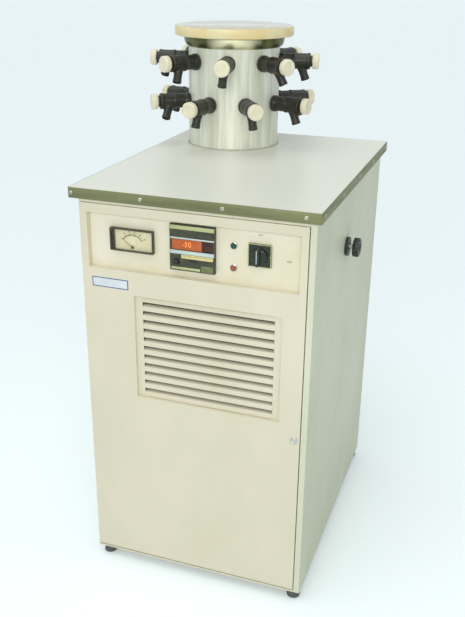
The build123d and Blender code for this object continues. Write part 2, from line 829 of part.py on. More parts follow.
def screw_rounds(radius, start, length, mode):
    """Adds or cuts a round at each edge screw: start and length run inwards from the band's face."""
    for side in (-1, 1):
        origin = (board_x, board_y + side * (board_depth / 2 - start), screw_level)
        with BuildSketch(Plane(origin=origin, x_dir=(1, 0, 0), z_dir=(0, -side, 0))) as row:
            with Locations(*screw_spots):
                Circle(radius)
        extrude(row.sketch, amount=length, mode=mode)
        origin = (board_x + side * (board_width / 2 - start), board_y, screw_level)
        with BuildSketch(Plane(origin=origin, x_dir=(0, 1, 0), z_dir=(-side, 0, 0))) as row:
            with GridLocations(screw_pitch, 1, screws_per_side, 1):
                Circle(radius)
        extrude(row.sketch, amount=length, mode=mode)


with BuildPart() as worktop:
    with BuildSketch(Plane.XY.offset(top)):
        with Locations((board_x, board_y)):
            Rectangle(board_width - 2 * band_thickness, board_depth - 2 * band_thickness)
        with Locations((drum_centre_x, drum_centre_y)):
            Circle(drum_radius + worktop_hole_clearance, mode=Mode.SUBTRACT)
    extrude(amount=worktop_thickness)
    screw_rounds(screw_shank_radius + screw_clearance, 0, screw_length + hole_clearance, Mode.SUBTRACT)
save(worktop, "worktop")

with BuildPart() as edge_band:
    with BuildSketch(Plane.XY.offset(top)):
        with Locations((board_x, board_y)):
            Rectangle(board_width, board_depth)
            Rectangle(
                board_width - 2 * band_thickness, board_depth - 2 * band_thickness, mode=Mode.SUBTRACT
            )
    extrude(amount=worktop_thickness)
    screw_rounds(screw_shank_radius + screw_clearance, 0, screw_length, Mode.SUBTRACT)
save(edge_band, "edge_band")

with BuildPart() as edge_screws:
    screw_rounds(screw_head_radius, -screw_head_height, screw_head_height, Mode.ADD)
    screw_rounds(screw_shank_radius, 0, screw_length, Mode.ADD)
save(edge_screws, "edge_screws")

# ---- Manifold drum: a tube with a tapered flange at its mouth and a round hole for each stub ----
drum_bore = drum_radius - drum_wall
drum_axis = Plane(origin=(drum_centre_x, drum_centre_y, 0), x_dir=(1, 0, 0), z_dir=(0, -1, 0))
flange_low = drum_top - drum_flange_straight - drum_flange_taper
valve_planes = [valve_plane(row, index) for row in range(2) for index in range(valves_per_row)]
with BuildPart() as manifold_drum:
    with BuildSketch(drum_axis):
        with BuildLine():
            Polyline(
                (drum_bore, top),
                (drum_radius, top),
                (drum_radius, flange_low),
                (drum_flange_radius, drum_top - drum_flange_straight),
                (drum_flange_radius, drum_top),
                (drum_bore, drum_top),
                close=True,
            )
        make_face()
    revolve(axis=Axis((drum_centre_x, drum_centre_y, 0), (0, 0, 1)))
    for plane in valve_planes:
        with BuildSketch(plane.offset(drum_bore / 2)):
            Circle(stub_radius + running_clearance)
        extrude(amount=drum_radius, mode=Mode.SUBTRACT)
save(manifold_drum, "manifold_drum")

# ---- Stubs: short tubes welded into the drum's holes, one inside each valve ----
with BuildPart() as valve_stubs:
    for plane in valve_planes:
        with BuildSketch(plane.offset(drum_bore)):
            Circle(stub_radius)
            Circle(stub_radius - stub_wall, mode=Mode.SUBTRACT)
        extrude(amount=stub_length)
save(valve_stubs, "valve_stubs")

# ---- Flask valves: a rubber body with a side outlet, and a turning knob with a ported plug ----
plug_floor = valve_end - plug_depth - plug_floor_gap
outlet_level = valve_end - outlet_axis_back
outlet_plane = Plane(
    origin=(0, 0, outlet_level),
    x_dir=(0, 1, 0),
    z_dir=(cos(radians(outlet_tilt)), 0, sin(radians(outlet_tilt))),
)
head_start = valve_end - valve_head_length
foot_end = valve_start + valve_foot_length
with BuildPart() as valve_body:
    with BuildSketch(Plane.XZ):
        with BuildLine():
            Polyline(
                (0, valve_start),
                (valve_foot_radius, valve_start),
                (valve_foot_radius, foot_end),
                (valve_waist_radius, foot_end + valve_taper),
                (valve_waist_radius, head_start - valve_taper),
                (valve_foot_radius, head_start),
                (valve_foot_radius, valve_end),
                (0, valve_end),
                close=True,
            )
        make_face()
    revolve(axis=Axis.Z)
    with BuildSketch(outlet_plane):
        Circle(outlet_radius)
    extrude(amount=outlet_length)
    with BuildSketch(Plane.XY.offset(valve_start)):
        Circle(stub_radius + running_clearance)
    extrude(amount=drum_bore + stub_length + hole_clearance - valve_start, mode=Mode.SUBTRACT)
    with BuildSketch(Plane.XY.offset(valve_start)):
        Circle(stub_radius - stub_wall)
    extrude(amount=valve_body_length, mode=Mode.SUBTRACT)
    with BuildSketch(Plane.XY.offset(plug_floor)):
        Circle(plug_radius + plug_clearance)
    extrude(amount=valve_end - plug_floor, mode=Mode.SUBTRACT)
    with BuildSketch(outlet_plane):
        Circle(outlet_passage_radius)
    extrude(amount=outlet_length, mode=Mode.SUBTRACT)
    with BuildSketch(outlet_plane.offset(outlet_length - outlet_bore_depth)):
        Circle(outlet_bore_radius)
    extrude(amount=outlet_bore_depth, mode=Mode.SUBTRACT)

neck_start = valve_end + knob_gap
disc_start = neck_start + knob_neck_length
with BuildPart() as valve_knob:
    with BuildSketch(Plane.XY.offset(disc_start)):
        Circle(knob_radius)
    extrude(amount=knob_thickness)
    fillet(valve_knob.edges(), radius=knob_rounding)
    with BuildSketch(Plane.XY.offset(neck_start)):
        Circle(knob_neck_radius)
    extrude(amount=knob_neck_length)
    with BuildSketch(Plane.XY.offset(valve_end - plug_depth)):
        Circle(plug_radius)
    extrude(amount=plug_depth + knob_gap)
    with BuildSketch(Plane.XY.offset(valve_end - plug_depth)):
        Circle(plug_port_radius)
    extrude(amount=plug_depth - outlet_axis_back, mode=Mode.SUBTRACT)
    with BuildSketch(Plane(origin=(0, 0, outlet_level), x_dir=(0, 1, 0), z_dir=(1, 0, 0))):
        Circle(plug_port_radius)
    extrude(amount=plug_radius, mode=Mode.SUBTRACT)

with BuildPart() as valve_bodies:
    with Locations(*[plane.location for plane in valve_planes]):
        add(valve_body.part)
save(valve_bodies, "valve_bodies")

for number, plane in enumerate(valve_planes):
    row_name = "upper" if number < valves_per_row else "lower"
    with BuildPart() as placed_knob:
        with Locations(plane.location):
            add(valve_knob.part)
    save(placed_knob, f"valve_knob_{row_name}_{number % valves_per_row + 1}")

# ---- Lid and its gasket ----
with BuildPart() as lid_gasket:
    with BuildSketch(Plane.XY.offset(drum_top)):
        with Locations((drum_centre_x, drum_centre_y)):
            Circle(drum_flange_radius)
            Circle(drum_flange_radius - gasket_width, mode=Mode.SUBTRACT)
    extrude(amount=gasket_thickness)
save(lid_gasket, "lid_gasket")

with BuildPart() as drum_lid:
    with BuildSketch(Plane.XY.offset(drum_top + gasket_thickness)):
        with Locations((drum_centre_x, drum_centre_y)):
            Circle(lid_radius)
    extrude(amount=lid_thickness)
    chamfer(drum_lid.edges(), length=lid_chamfer)
save(drum_lid, "drum_lid")

# ---- Ice condenser vessel, hung under the worktop, with the drum standing on its flange ----
vent_entry = deck - vent_drop
with BuildPart() as condenser_vessel:
    with BuildSketch(Plane.XY.offset(vessel_bottom)):
        with Locations((drum_centre_x, drum_centre_y)):
            Circle(vessel_radius)
    extrude(amount=vessel_depth)
    with BuildSketch(Plane.XY.offset(top - vessel_flange_thickness)):
        with Locations((drum_centre_x, drum_centre_y)):
            Circle(vessel_flange_radius)
    extrude(amount=vessel_flange_thickness)
    with BuildSketch(Plane.XY.offset(vessel_bottom + vessel_wall)):
        with Locations((drum_centre_x, drum_centre_y)):
            Circle(vessel_radius - vessel_wall)
    extrude(amount=vessel_depth - vessel_wall, mode=Mode.SUBTRACT)
    with BuildSketch(Plane.XY.offset(vessel_bottom)):
        with Locations((drum_centre_x, drum_centre_y)):
            Circle(pipe_radius - pipe_wall)
    extrude(amount=vessel_wall, mode=Mode.SUBTRACT)
    with BuildSketch(facing(drum_centre_y)):
        with Locations((drum_centre_x, vent_entry)):
            Circle(vent_tube_radius - tube_wall)
    extrude(amount=vessel_radius, mode=Mode.SUBTRACT)
save(condenser_vessel, "condenser_vessel")

# ---- Evaporator coil: one tube wound round the vessel ----
coil_radius = vessel_radius + coil_gap + coil_tube_radius
coil_level = vessel_bottom + coil_start
with BuildPart() as evaporator_coil:
    with BuildLine():
        coil_path = Helix(
            pitch=coil_pitch,
            height=coil_pitch * coil_turns,
            radius=coil_radius,
            center=(drum_centre_x, drum_centre_y, coil_level),
        )
    with BuildSketch(Plane(origin=coil_path @ 0, z_dir=coil_path % 0)):
        Circle(coil_tube_radius)
    sweep()
save(evaporator_coil, "evaporator_coil")

# ---- Insulation: a foam jacket round the coil, closed at the bottom, with holes for the two tubes ----
jacket_bore = coil_radius + coil_tube_radius + insulation_gap
with BuildPart() as vessel_insulation:
    with BuildSketch(Plane.XY.offset(vessel_bottom - insulation_floor)):
        with Locations((drum_centre_x, drum_centre_y)):
            Circle(insulation_radius)
            Circle(pipe_radius + insulation_gap, mode=Mode.SUBTRACT)
    extrude(amount=insulation_floor)
    with BuildSketch(Plane.XY.offset(vessel_bottom)):
        with Locations((drum_centre_x, drum_centre_y)):
            Circle(insulation_radius)
            Circle(jacket_bore, mode=Mode.SUBTRACT)
    extrude(amount=vessel_depth - vessel_flange_thickness)
    with BuildSketch(facing(drum_centre_y)):
        with Locations((drum_centre_x, vent_entry)):
            Circle(vent_tube_radius + insulation_gap)
    extrude(amount=2 * insulation_radius, mode=Mode.SUBTRACT)
save(vessel_insulation, "vessel_insulation")


def tube(path, radius, wall):
    """Sweeps a tube's round section along a path already drawn in the current part."""
    with BuildSketch(Plane(origin=path @ 0, z_dir=path % 0)) as section:
        Circle(radius)
        Circle(radius - wall, mode=Mode.SUBTRACT)
    sweep(section.sketch, path=path)


# ---- Vacuum pipe: down from the vessel, then out through the back panel ----
with BuildPart() as vacuum_pipe:
    with BuildLine() as pipe_line:
        FilletPolyline(
            (drum_centre_x, drum_centre_y, vessel_bottom),
            (drum_centre_x, drum_centre_y, pipe_level),
            (drum_centre_x, back + pipe_reach, pipe_level),
            radius=pipe_bend,
        )
    tube(pipe_line.wire(), pipe_radius, pipe_wall)
save(vacuum_pipe, "vacuum_pipe")

# ---- Vent tube: from the side valve to the vessel's wall ----
with BuildPart() as vent_tube:
    with BuildLine() as vent_line:
        FilletPolyline(
            (right - vent_body_length, front + vent_y, vent_entry),
            (drum_centre_x, front + vent_y, vent_entry),
            (drum_centre_x, drum_centre_y - vessel_radius - coil_gap, vent_entry),
            radius=vent_tube_bend,
        )
    tube(vent_line.wire(), vent_tube_radius, tube_wall)
save(vent_tube, "vent_tube")

# ---- Compressor: a steel shell on its base plate ----
compressor_centre = (left + compressor_x, front + compressor_y)
shell_low = base_top + compressor_leg
with BuildPart() as compressor:
    with BuildSketch(Plane.XY.offset(base_top)):
        with Locations(compressor_centre):
            RectangleRounded(compressor_plate_width, compressor_plate_depth, compressor_leg)
    extrude(amount=compressor_plate_thickness)
    with BuildSketch(Plane.XY.offset(base_top + compressor_plate_thickness)):
        with Locations(compressor_centre):
            Circle(compressor_radius / 2)
    extrude(amount=compressor_leg)
    with BuildSketch(Plane.XY.offset(shell_low)):
        with Locations(compressor_centre):
            Circle(compressor_radius)
    extrude(amount=compressor_height)
    fillet(compressor.edges().group_by(Axis.Z)[-1], radius=compressor_radius / 3)
save(compressor, "compressor")

# ---- Air-cooled condenser: a finned core between two side plates that stand on the base ----
core_x = left + grille_x
core_front = front + core_y
core_bottom = base_top + core_level
fins = int((core_width - fin_pitch) / fin_pitch)
side_plate_x = core_width / 2 + core_side_sheet / 2
with BuildPart() as air_condenser:
    with BuildSketch(Plane.XY.offset(core_bottom)):
        with Locations((core_x, core_front + core_depth / 2)):
            Rectangle(core_width, core_depth)
        for side_y in (core_front + fin_slot_depth / 2, core_front + core_depth - fin_slot_depth / 2):
            with Locations((core_x, side_y)):
                with GridLocations(fin_pitch, 1, fins, 1):
                    Rectangle(fin_slot, fin_slot_depth, mode=Mode.SUBTRACT)
    extrude(amount=core_height)
    with BuildSketch(Plane.XY.offset(base_top)):
        with Locations((core_x, core_front + core_depth / 2)):
            with GridLocations(2 * side_plate_x, 1, 2, 1):
                Rectangle(core_side_sheet, core_depth)
    extrude(amount=core_level + core_height)
save(air_condenser, "air_condenser")

# ---- Fan shroud: a plate behind the core with a ring round the fan and three arms for the motor ----
shroud_front = core_front + core_depth
fan_z = core_bottom + core_height / 2
ring_radius = fan_radius + fan_tip_gap
shroud_back = shroud_front + shroud_sheet + shroud_ring_depth
motor_front = shroud_front + shroud_sheet + fan_clearance + fan_hub_length + fan_clearance
with BuildPart() as fan_shroud:
    with BuildSketch(facing(shroud_front + shroud_sheet)):
        with Locations((core_x, fan_z)):
            Rectangle(core_width, core_height)
            Circle(ring_radius, mode=Mode.SUBTRACT)
    extrude(amount=shroud_sheet)
    with BuildSketch(facing(shroud_back)):
        with Locations((core_x, fan_z)):
            Circle(ring_radius + shroud_ring_wall)
            Circle(ring_radius, mode=Mode.SUBTRACT)
    extrude(amount=shroud_ring_depth)
    with BuildSketch(facing(motor_front + motor_arm_thickness)):
        with Locations((core_x, fan_z)):
            Rectangle(2 * ring_radius + motor_arm_width, motor_arm_width)
            Circle(fan_shaft_radius + fan_clearance, mode=Mode.SUBTRACT)
    extrude(amount=motor_arm_thickness)
    with BuildSketch(facing(motor_front)):
        with Locations((core_x, fan_z)):
            with GridLocations(2 * ring_radius + motor_arm_width - motor_arm_thickness, 1, 2, 1):
                Rectangle(motor_arm_thickness, motor_arm_width)
    extrude(amount=motor_front - shroud_front - shroud_sheet)
save(fan_shroud, "fan_shroud")

# ---- Fan motor, on the arms, with the shaft's hole ----
motor_face = motor_front + motor_arm_thickness
with BuildPart() as fan_motor:
    with BuildSketch(facing(motor_face + motor_length)):
        with Locations((core_x, fan_z)):
            Circle(motor_radius)
    extrude(amount=motor_length)
    with BuildSketch(facing(motor_face + fan_shaft_depth + hole_clearance)):
        with Locations((core_x, fan_z)):
            Circle(fan_shaft_radius + running_clearance)
    extrude(amount=fan_shaft_depth + hole_clearance, mode=Mode.SUBTRACT)
save(fan_motor, "fan_motor")

# ---- Fan blades: a hub with pitched blades, on the motor's shaft ----
hub_front = shroud_front + shroud_sheet + fan_clearance
hub_middle = hub_front + fan_hub_length / 2
with BuildPart() as fan_blade:
    with BuildSketch(facing(hub_front + fan_hub_length)):
        with Locations((core_x, fan_z)):
            Circle(fan_hub_radius)
    extrude(amount=fan_hub_length)
    for number in range(fan_blades):
        turn = radians(number * 360 / fan_blades)
        outwards = Vector(cos(turn), 0, sin(turn))
        across = Vector(-sin(turn), 0, cos(turn))
        pitched = across * cos(radians(fan_blade_angle)) + Vector(0, sin(radians(fan_blade_angle)), 0)
        root = Vector(core_x, hub_middle, fan_z) + outwards * (fan_hub_radius - fan_blade_thickness)
        with BuildSketch(Plane(origin=root, x_dir=pitched, z_dir=outwards)):
            Rectangle(fan_blade_chord, fan_blade_thickness)
        extrude(amount=fan_radius - fan_hub_radius)
    with BuildSketch(facing(motor_face + fan_shaft_depth)):
        with Locations((core_x, fan_z)):
            Circle(fan_shaft_radius)
    extrude(amount=motor_face + fan_shaft_depth - hub_middle)
save(fan_blade, "fan_blade")

# ---- Cord gland in the back panel ----
gland_centre = (left + gland_x, bottom + gland_level)
with BuildPart() as cord_gland:
    with BuildSketch(facing(back)):
        with Locations(gland_centre):
            RegularPolygon(gland_nut_radius, 6)
    extrude(amount=-gland_nut_length)
    with BuildSketch(facing(back + gland_nut_length + gland_dome_length)):
        with Locations(gland_centre):
            Circle(gland_dome_radius)
    extrude(amount=gland_dome_length)
    with BuildSketch(facing(back)):
        with Locations(gland_centre):
            Circle(gland_radius)
    extrude(amount=gland_inner_length)
    with BuildSketch(facing(back + gland_nut_length + gland_dome_length)):
        with Locations(gland_centre):
            Circle(gland_bore_radius)
    extrude(amount=gland_nut_length + gland_dome_length + gland_inner_length, mode=Mode.SUBTRACT)
save(cord_gland, "cord_gland")

# ---- Refrigerant lines: compressor to condenser, and coil back to compressor ----
shell_top = shell_low + compressor_height
line_y = core_front + core_depth / 2
line_x = core_x + side_plate_x + core_side_sheet / 2
discharge_x = compressor_centre[0] + compressor_radius / 4
suction_x = compressor_centre[0] - compressor_radius / 3
suction_turn = vessel_bottom - insulation_floor - 2 * line_bend
coil_tail_x = drum_centre_x + vessel_radius
with BuildPart() as refrigerant_lines:
    with BuildLine() as discharge_line:
        FilletPolyline(
            (discharge_x, compressor_centre[1], shell_top),
            (discharge_x, compressor_centre[1], core_bottom + line_bend),
            (line_x + 2 * line_bend, compressor_centre[1], core_bottom + line_bend),
            (line_x + 2 * line_bend, line_y, core_bottom + line_bend),
            (line_x, line_y, core_bottom + line_bend),
            radius=line_bend,
        )
    tube(discharge_line.wire(), line_radius, tube_wall)
    with BuildLine() as suction_line:
        FilletPolyline(
            (suction_x, compressor_centre[1], shell_top),
            (suction_x, compressor_centre[1], suction_turn),
            (coil_tail_x, compressor_centre[1], suction_turn),
            (coil_tail_x, compressor_centre[1], vessel_bottom - insulation_floor),
            radius=line_bend,
        )
    tube(suction_line.wire(), line_radius, tube_wall)
save(refrigerant_lines, "refrigerant_lines")
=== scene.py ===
"""Looks of a floor-standing freeze dryer with a drum manifold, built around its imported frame."""

from __future__ import annotations

import json
import logging
import math
from collections.abc import Sequence
from dataclasses import dataclass, field, replace
from enum import Enum

import bmesh
import bpy
from mathutils import Matrix, Vector

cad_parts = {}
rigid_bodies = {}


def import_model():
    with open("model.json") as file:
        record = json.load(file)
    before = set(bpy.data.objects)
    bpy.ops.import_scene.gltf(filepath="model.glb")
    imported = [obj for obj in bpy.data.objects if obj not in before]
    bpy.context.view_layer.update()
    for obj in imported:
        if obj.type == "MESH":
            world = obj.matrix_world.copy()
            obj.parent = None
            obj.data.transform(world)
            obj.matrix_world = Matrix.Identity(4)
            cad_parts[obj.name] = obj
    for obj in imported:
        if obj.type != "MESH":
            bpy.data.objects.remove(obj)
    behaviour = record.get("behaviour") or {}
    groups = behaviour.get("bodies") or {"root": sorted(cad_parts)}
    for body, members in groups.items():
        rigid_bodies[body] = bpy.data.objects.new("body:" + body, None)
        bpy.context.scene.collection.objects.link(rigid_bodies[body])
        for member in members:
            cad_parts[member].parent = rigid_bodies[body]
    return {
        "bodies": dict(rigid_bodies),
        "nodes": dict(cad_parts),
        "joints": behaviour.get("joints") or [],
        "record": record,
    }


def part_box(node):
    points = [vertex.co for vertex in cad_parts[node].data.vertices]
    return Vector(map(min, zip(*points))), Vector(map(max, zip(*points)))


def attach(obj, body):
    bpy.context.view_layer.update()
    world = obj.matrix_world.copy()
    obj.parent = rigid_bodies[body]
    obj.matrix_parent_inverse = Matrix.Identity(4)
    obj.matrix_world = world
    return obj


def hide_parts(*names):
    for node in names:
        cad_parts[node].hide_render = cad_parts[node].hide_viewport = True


LOG = logging.getLogger("freeze_dryer")
MM = 0.001
Colour = tuple[float, float, float, float]
Profile = Sequence[tuple[float, float]]

# Sockets of a Mix node for colours: by how much, from what, to what, and the result.
MIX_BY, MIX_FROM, MIX_TO, MIXED = 0, 6, 7, 2
# A noise of soft clouds with finer ones within, and the stretches of it that colour and gloss follow.
CLOUDS = {"Detail": 6.0, "Roughness": 0.62}
COLOUR_RANGE = {"From Min": 0.36, "From Max": 0.66}
GLOSS_RANGE = {"From Min": 0.3, "From Max": 0.7}
# How far a rounded edge's normal turns from its face before the wear shows, as a cosine.
WEAR_RANGE = {"From Min": 0.99, "From Max": 0.8}


def linear(code: str) -> Colour:
    """Turns an sRGB hex colour into linear RGBA.

    Args:
        code: the colour as "#rrggbb".

    Returns:
        Linear red, green, blue and an alpha of 1.
    """
    parts = [int(code[i : i + 2], 16) / 255 for i in (1, 3, 5)]
    red, green, blue = (c / 12.92 if c <= 0.04045 else ((c + 0.055) / 1.055) ** 2.4 for c in parts)
    return red, green, blue, 1.0


def per_mm(size: float) -> float:
    """Returns the texture scale at which one pattern cell measures the given millimetres."""
    return 1.0 / (size * MM)


def wire(node: bpy.types.Node, links: dict) -> None:
    """Sets a node's sockets.

    Args:
        node: the node.
        links: socket name or number to a value or to another node's output.
    """
    for key, value in links.items():
        if isinstance(value, bpy.types.NodeSocket):
            node.id_data.links.new(value, node.inputs[key])
        else:
            node.inputs[key].default_value = value


def add_node(
    tree: bpy.types.NodeTree, kind: str, links: dict | None = None, out: str | int = 0, **settings: object
) -> bpy.types.NodeSocket:
    """Adds a node, sets it and wires it.

    Args:
        tree: the node tree.
        kind: the node's type name without "ShaderNode".
        links: socket name or number to a value or to another node's output.
        out: name or number of the output that is wanted.
        settings: attributes of the node itself.

    Returns:
        That output of the new node.
    """
    node = tree.nodes.new("ShaderNode" + kind)
    for name, value in settings.items():
        setattr(node, name, value)
    wire(node, links or {})
    return node.outputs[out]


# ------------------------------------------------------------------ finishes


@dataclass(frozen=True)
class Finish:
    """A finish with a mottled colour, uneven gloss, a fine grain and edges that look rounded."""

    name: str
    colour: str
    shade: str
    roughness: float = 0.4
    gloss_spread: float = 0.1
    metallic: float = 0.0
    patch_mm: float = 14.0
    stretch: tuple[float, float, float] = (1.0, 1.0, 1.0)
    grain_mm: float = 0.8
    grain_depth_mm: float = 0.008
    round_mm: float = 0.3
    wear: str | None = None
    wear_amount: float = 0.5

    def material(self) -> bpy.types.Material:
        """Returns the finish's material, made on first use."""
        made = bpy.data.materials.get(self.name)
        if made is None:
            made = bpy.data.materials.new(self.name)
            made.use_nodes = True
            tree = made.node_tree
            self.dress(tree, tree.nodes["Principled BSDF"], add_node(tree, "TexCoord", out="Object"))
        return made

    def dress(self, tree: bpy.types.NodeTree, shader: bpy.types.Node, place: bpy.types.NodeSocket) -> None:
        """Wires colour, gloss and bump into the shader.

        Args:
            tree: the material's node tree.
            shader: its Principled shader.
            place: object coordinates in metres.
        """
        wire(shader, {"Metallic": self.metallic})
        along = add_node(tree, "Mapping", {"Vector": place, "Scale": self.stretch})
        patches = add_node(tree, "TexNoise", {"Vector": along, "Scale": per_mm(self.patch_mm), **CLOUDS})
        spread = add_node(tree, "MapRange", {"Value": patches, **COLOUR_RANGE})
        colours = {MIX_BY: spread, MIX_FROM: linear(self.colour), MIX_TO: linear(self.shade)}
        colour = add_node(tree, "Mix", colours, MIXED, data_type="RGBA")
        soft = add_node(tree, "Bevel", {"Radius": self.round_mm * MM}, samples=4)
        if self.wear:
            true = add_node(tree, "NewGeometry", out="True Normal")
            facing = add_node(tree, "VectorMath", {0: soft, 1: true}, "Value", operation="DOT_PRODUCT")
            edge = add_node(tree, "MapRange", {"Value": facing, **WEAR_RANGE, "To Max": self.wear_amount})
            broken = add_node(tree, "Math", {0: edge, 1: spread}, operation="MULTIPLY")
            colours = {MIX_BY: broken, MIX_FROM: colour, MIX_TO: linear(self.wear)}
            colour = add_node(tree, "Mix", colours, MIXED, data_type="RGBA")
        half = self.gloss_spread / 2
        levels = {"To Min": self.roughness - half, "To Max": self.roughness + half}
        gloss = add_node(tree, "MapRange", {"Value": patches, **GLOSS_RANGE, **levels})
        grain = add_node(tree, "TexNoise", {"Vector": along, "Scale": per_mm(self.grain_mm), "Detail": 2.0})
        relief = {"Height": grain, "Distance": self.grain_depth_mm * MM, "Strength": 1.0, "Normal": soft}
        wire(shader, {"Base Color": colour, "Roughness": gloss, "Normal": add_node(tree, "Bump", relief)})
        self.tune(tree, shader, place)

    def tune(self, tree: bpy.types.NodeTree, shader: bpy.types.Node, place: bpy.types.NodeSocket) -> None:
        """Gives a kind of finish the chance to set the sockets that only it needs."""


@dataclass(frozen=True)
class ClearFinish(Finish):
    """Glass or cast acrylic: light passes through and is coloured on its way."""

    transmission: float = 1.0
    alpha: float = 1.0
    ior: float = 1.49
    tint: str = "#ffffff"
    density: float = 0.0

    def tune(self, tree: bpy.types.NodeTree, shader: bpy.types.Node, place: bpy.types.NodeSocket) -> None:
        """Lets light through and adds the body's absorption."""
        wire(shader, {"Transmission Weight": self.transmission, "IOR": self.ior, "Alpha": self.alpha})
        if self.density:
            body = add_node(tree, "VolumeAbsorption", {"Color": linear(self.tint), "Density": self.density})
            wire(tree.nodes["Material Output"], {"Volume": body})


@dataclass(frozen=True)
class TurnedFinish(Finish):
    """Metal worked round an upright axis, so that its highlights stretch up and down."""

    stretch_of_light: float = 0.3
    quarter_turn: float = 0.25

    def tune(self, tree: bpy.types.NodeTree, shader: bpy.types.Node, place: bpy.types.NodeSocket) -> None:
        """Stretches the highlights across the tool marks."""
        wire(shader, {"Anisotropic": self.stretch_of_light, "Anisotropic Rotation": self.quarter_turn})
        wire(shader, {"Tangent": add_node(tree, "Tangent", direction_type="RADIAL", axis="Z")})


@dataclass(frozen=True)
class PaintedHighlightFinish(TurnedFinish):
    """A blackened ring with a painted highlight: one stretch of its front is painted bright, as if it caught
    the light.
    """

    highlight_colour: str = "#f4f1cc"
    middle: tuple[float, float] = (0.0, 0.0)
    # The painted highlight faces this many degrees right of the front, toward the camera's side; it is full
    # within near_deg and gone beyond far_deg.
    side_deg: float = 19.0
    near_deg: float = 9.0
    far_deg: float = 33.0

    def tune(self, tree: bpy.types.NodeTree, shader: bpy.types.Node, place: bpy.types.NodeSocket) -> None:
        """Paints the bright highlight over that stretch of the ring."""
        super().tune(tree, shader, place)
        side, near, far = (math.radians(a) for a in (self.side_deg, self.near_deg, self.far_deg))
        way = place
        for operation, other in (("SUBTRACT", (*self.middle, 0.0)), ("MULTIPLY", (1.0, 1.0, 0.0))):
            way = add_node(tree, "VectorMath", {0: way, 1: other}, "Vector", operation=operation)
        way = add_node(tree, "VectorMath", {0: way}, "Vector", operation="NORMALIZE")
        aim = (math.sin(side), -math.cos(side), 0.0)
        toward = add_node(tree, "VectorMath", {0: way, 1: aim}, "Value", operation="DOT_PRODUCT")
        reach = {"Value": toward, "From Min": math.cos(far), "From Max": math.cos(near)}
        painted_highlight = add_node(tree, "MapRange", reach)
        blackened = shader.inputs["Base Color"].links[0].from_socket
        colours = {MIX_BY: painted_highlight, MIX_FROM: blackened, MIX_TO: linear(self.highlight_colour)}
        wire(shader, {"Base Color": add_node(tree, "Mix", colours, MIXED, data_type="RGBA")})


@dataclass(frozen=True)
class WaxyFinish(Finish):
    """Moulded plastic that lets a little light in under its skin."""

    depth_mm: float = 1.5
    weight: float = 0.15

    def tune(self, tree: bpy.types.NodeTree, shader: bpy.types.Node, place: bpy.types.NodeSocket) -> None:
        """Adds the light under the skin."""
        wire(shader, {"Subsurface Weight": self.weight, "Subsurface Scale": self.depth_mm * MM})


@dataclass(frozen=True)
class LitFinish(Finish):
    """A filter or digit that glows by itself."""

    glow: str = "#ff8040"
    strength: float = 0.5

    def tune(self, tree: bpy.types.NodeTree, shader: bpy.types.Node, place: bpy.types.NodeSocket) -> None:
        """Adds the glow."""
        wire(shader, {"Emission Color": linear(self.glow), "Emission Strength": self.strength})


# Stove enamel sprayed on sheet steel: a cream that has yellowed and greyed in clouds, with faint
# orange peel and a rubbed, slightly darker line along the folds.
ENAMEL = Finish(
    "stove_enamel_cream", "#e8e1cb", "#dfd9c0", roughness=0.42, gloss_spread=0.16, patch_mm=230.0,
    stretch=(1.0, 1.0, 0.6), grain_mm=2.6, grain_depth_mm=0.035, round_mm=1.2, wear="#a49f82",
)
# The control plate: the same enamel painted paler, painted light that lifts the shade of its recess.
LIT_PLATE_ENAMEL = replace(
    ENAMEL, name="stove_enamel_painted_lit", colour="#f3eddb", shade="#ebe4c8", gloss_spread=0.12, patch_mm=120.0,
    stretch=(1.0, 1.0, 1.0), grain_depth_mm=0.03, round_mm=0.8, wear="#b9b498",
)
# The side and back sheets: the same enamel painted a little greener and greyer, a painted shade tone for the
# sheets that face away from the key light.
SHADE_TINTED_ENAMEL = replace(ENAMEL, name="stove_enamel_shade_tinted", colour="#e0e2ca", shade="#d6dac0", wear="#9da084")
# Pressed laminate on chipboard: pale grey with a fine fleck, drawn at 3 mm so that it shows.
LAMINATE = Finish(
    "pressed_laminate_grey", "#f1f2e8", "#e5e7da", roughness=0.36, gloss_spread=0.08, patch_mm=3.0,
    grain_mm=1.0, grain_depth_mm=0.012, round_mm=0.4,
)
# Mill aluminium edging that has gone dull olive, rubbed brighter along its edges.
EDGING = Finish(
    "dulled_aluminium_edging", "#8a8c64", "#6e714e", roughness=0.5, gloss_spread=0.14, metallic=0.25,
    patch_mm=30.0, stretch=(0.12, 0.12, 1.0), grain_mm=1.6, grain_depth_mm=0.02, round_mm=0.5, wear="#b4b69a",
    wear_amount=0.7,
)
# Nickel-plated screws: small bright heads.
SCREW = Finish(
    "nickel_plated_steel", "#cfcdbf", "#a7a592", roughness=0.3, metallic=0.9, patch_mm=4.0, grain_mm=0.6,
    grain_depth_mm=0.01, round_mm=0.25,
)
# Satin stainless tube: rolled and lightly polished, with faint upright bands, drawn at 16 mm so that
# they show, and soft upright highlights.
STAINLESS = TurnedFinish(
    "satin_rolled_stainless", "#f7f8eb", "#d3d7c1", roughness=0.6, metallic=0.35, patch_mm=16.0,
    stretch=(1.0, 1.0, 0.06), grain_mm=2.0, round_mm=0.4,
)
# Stainless left as it came from the mill, on the vessel and the stubs.
MILL_STEEL = Finish(
    "mill_stainless", "#b9bab4", "#989a93", roughness=0.38, metallic=1.0, patch_mm=40.0, grain_mm=1.2,
    grain_depth_mm=0.012, round_mm=0.4,
)
# Blackened cast flange: dark olive to the sides, with a painted highlight of bright metal across its front.
CAST_FLANGE = PaintedHighlightFinish(
    "blackened_turned_flange", "#7d7c52", "#58573a", roughness=0.36, metallic=1.0, patch_mm=40.0,
    stretch=(1.0, 1.0, 0.5), grain_mm=1.4, grain_depth_mm=0.01, round_mm=0.6, wear="#9a9770",
)
# Pale sealant run round the drum's foot: matt, slightly uneven.
SEALANT = Finish(
    "silicone_sealant_pale", "#c9cabd", "#b4b6a6", roughness=0.55, patch_mm=12.0, grain_mm=2.0,
    grain_depth_mm=0.1, round_mm=0.6,
)
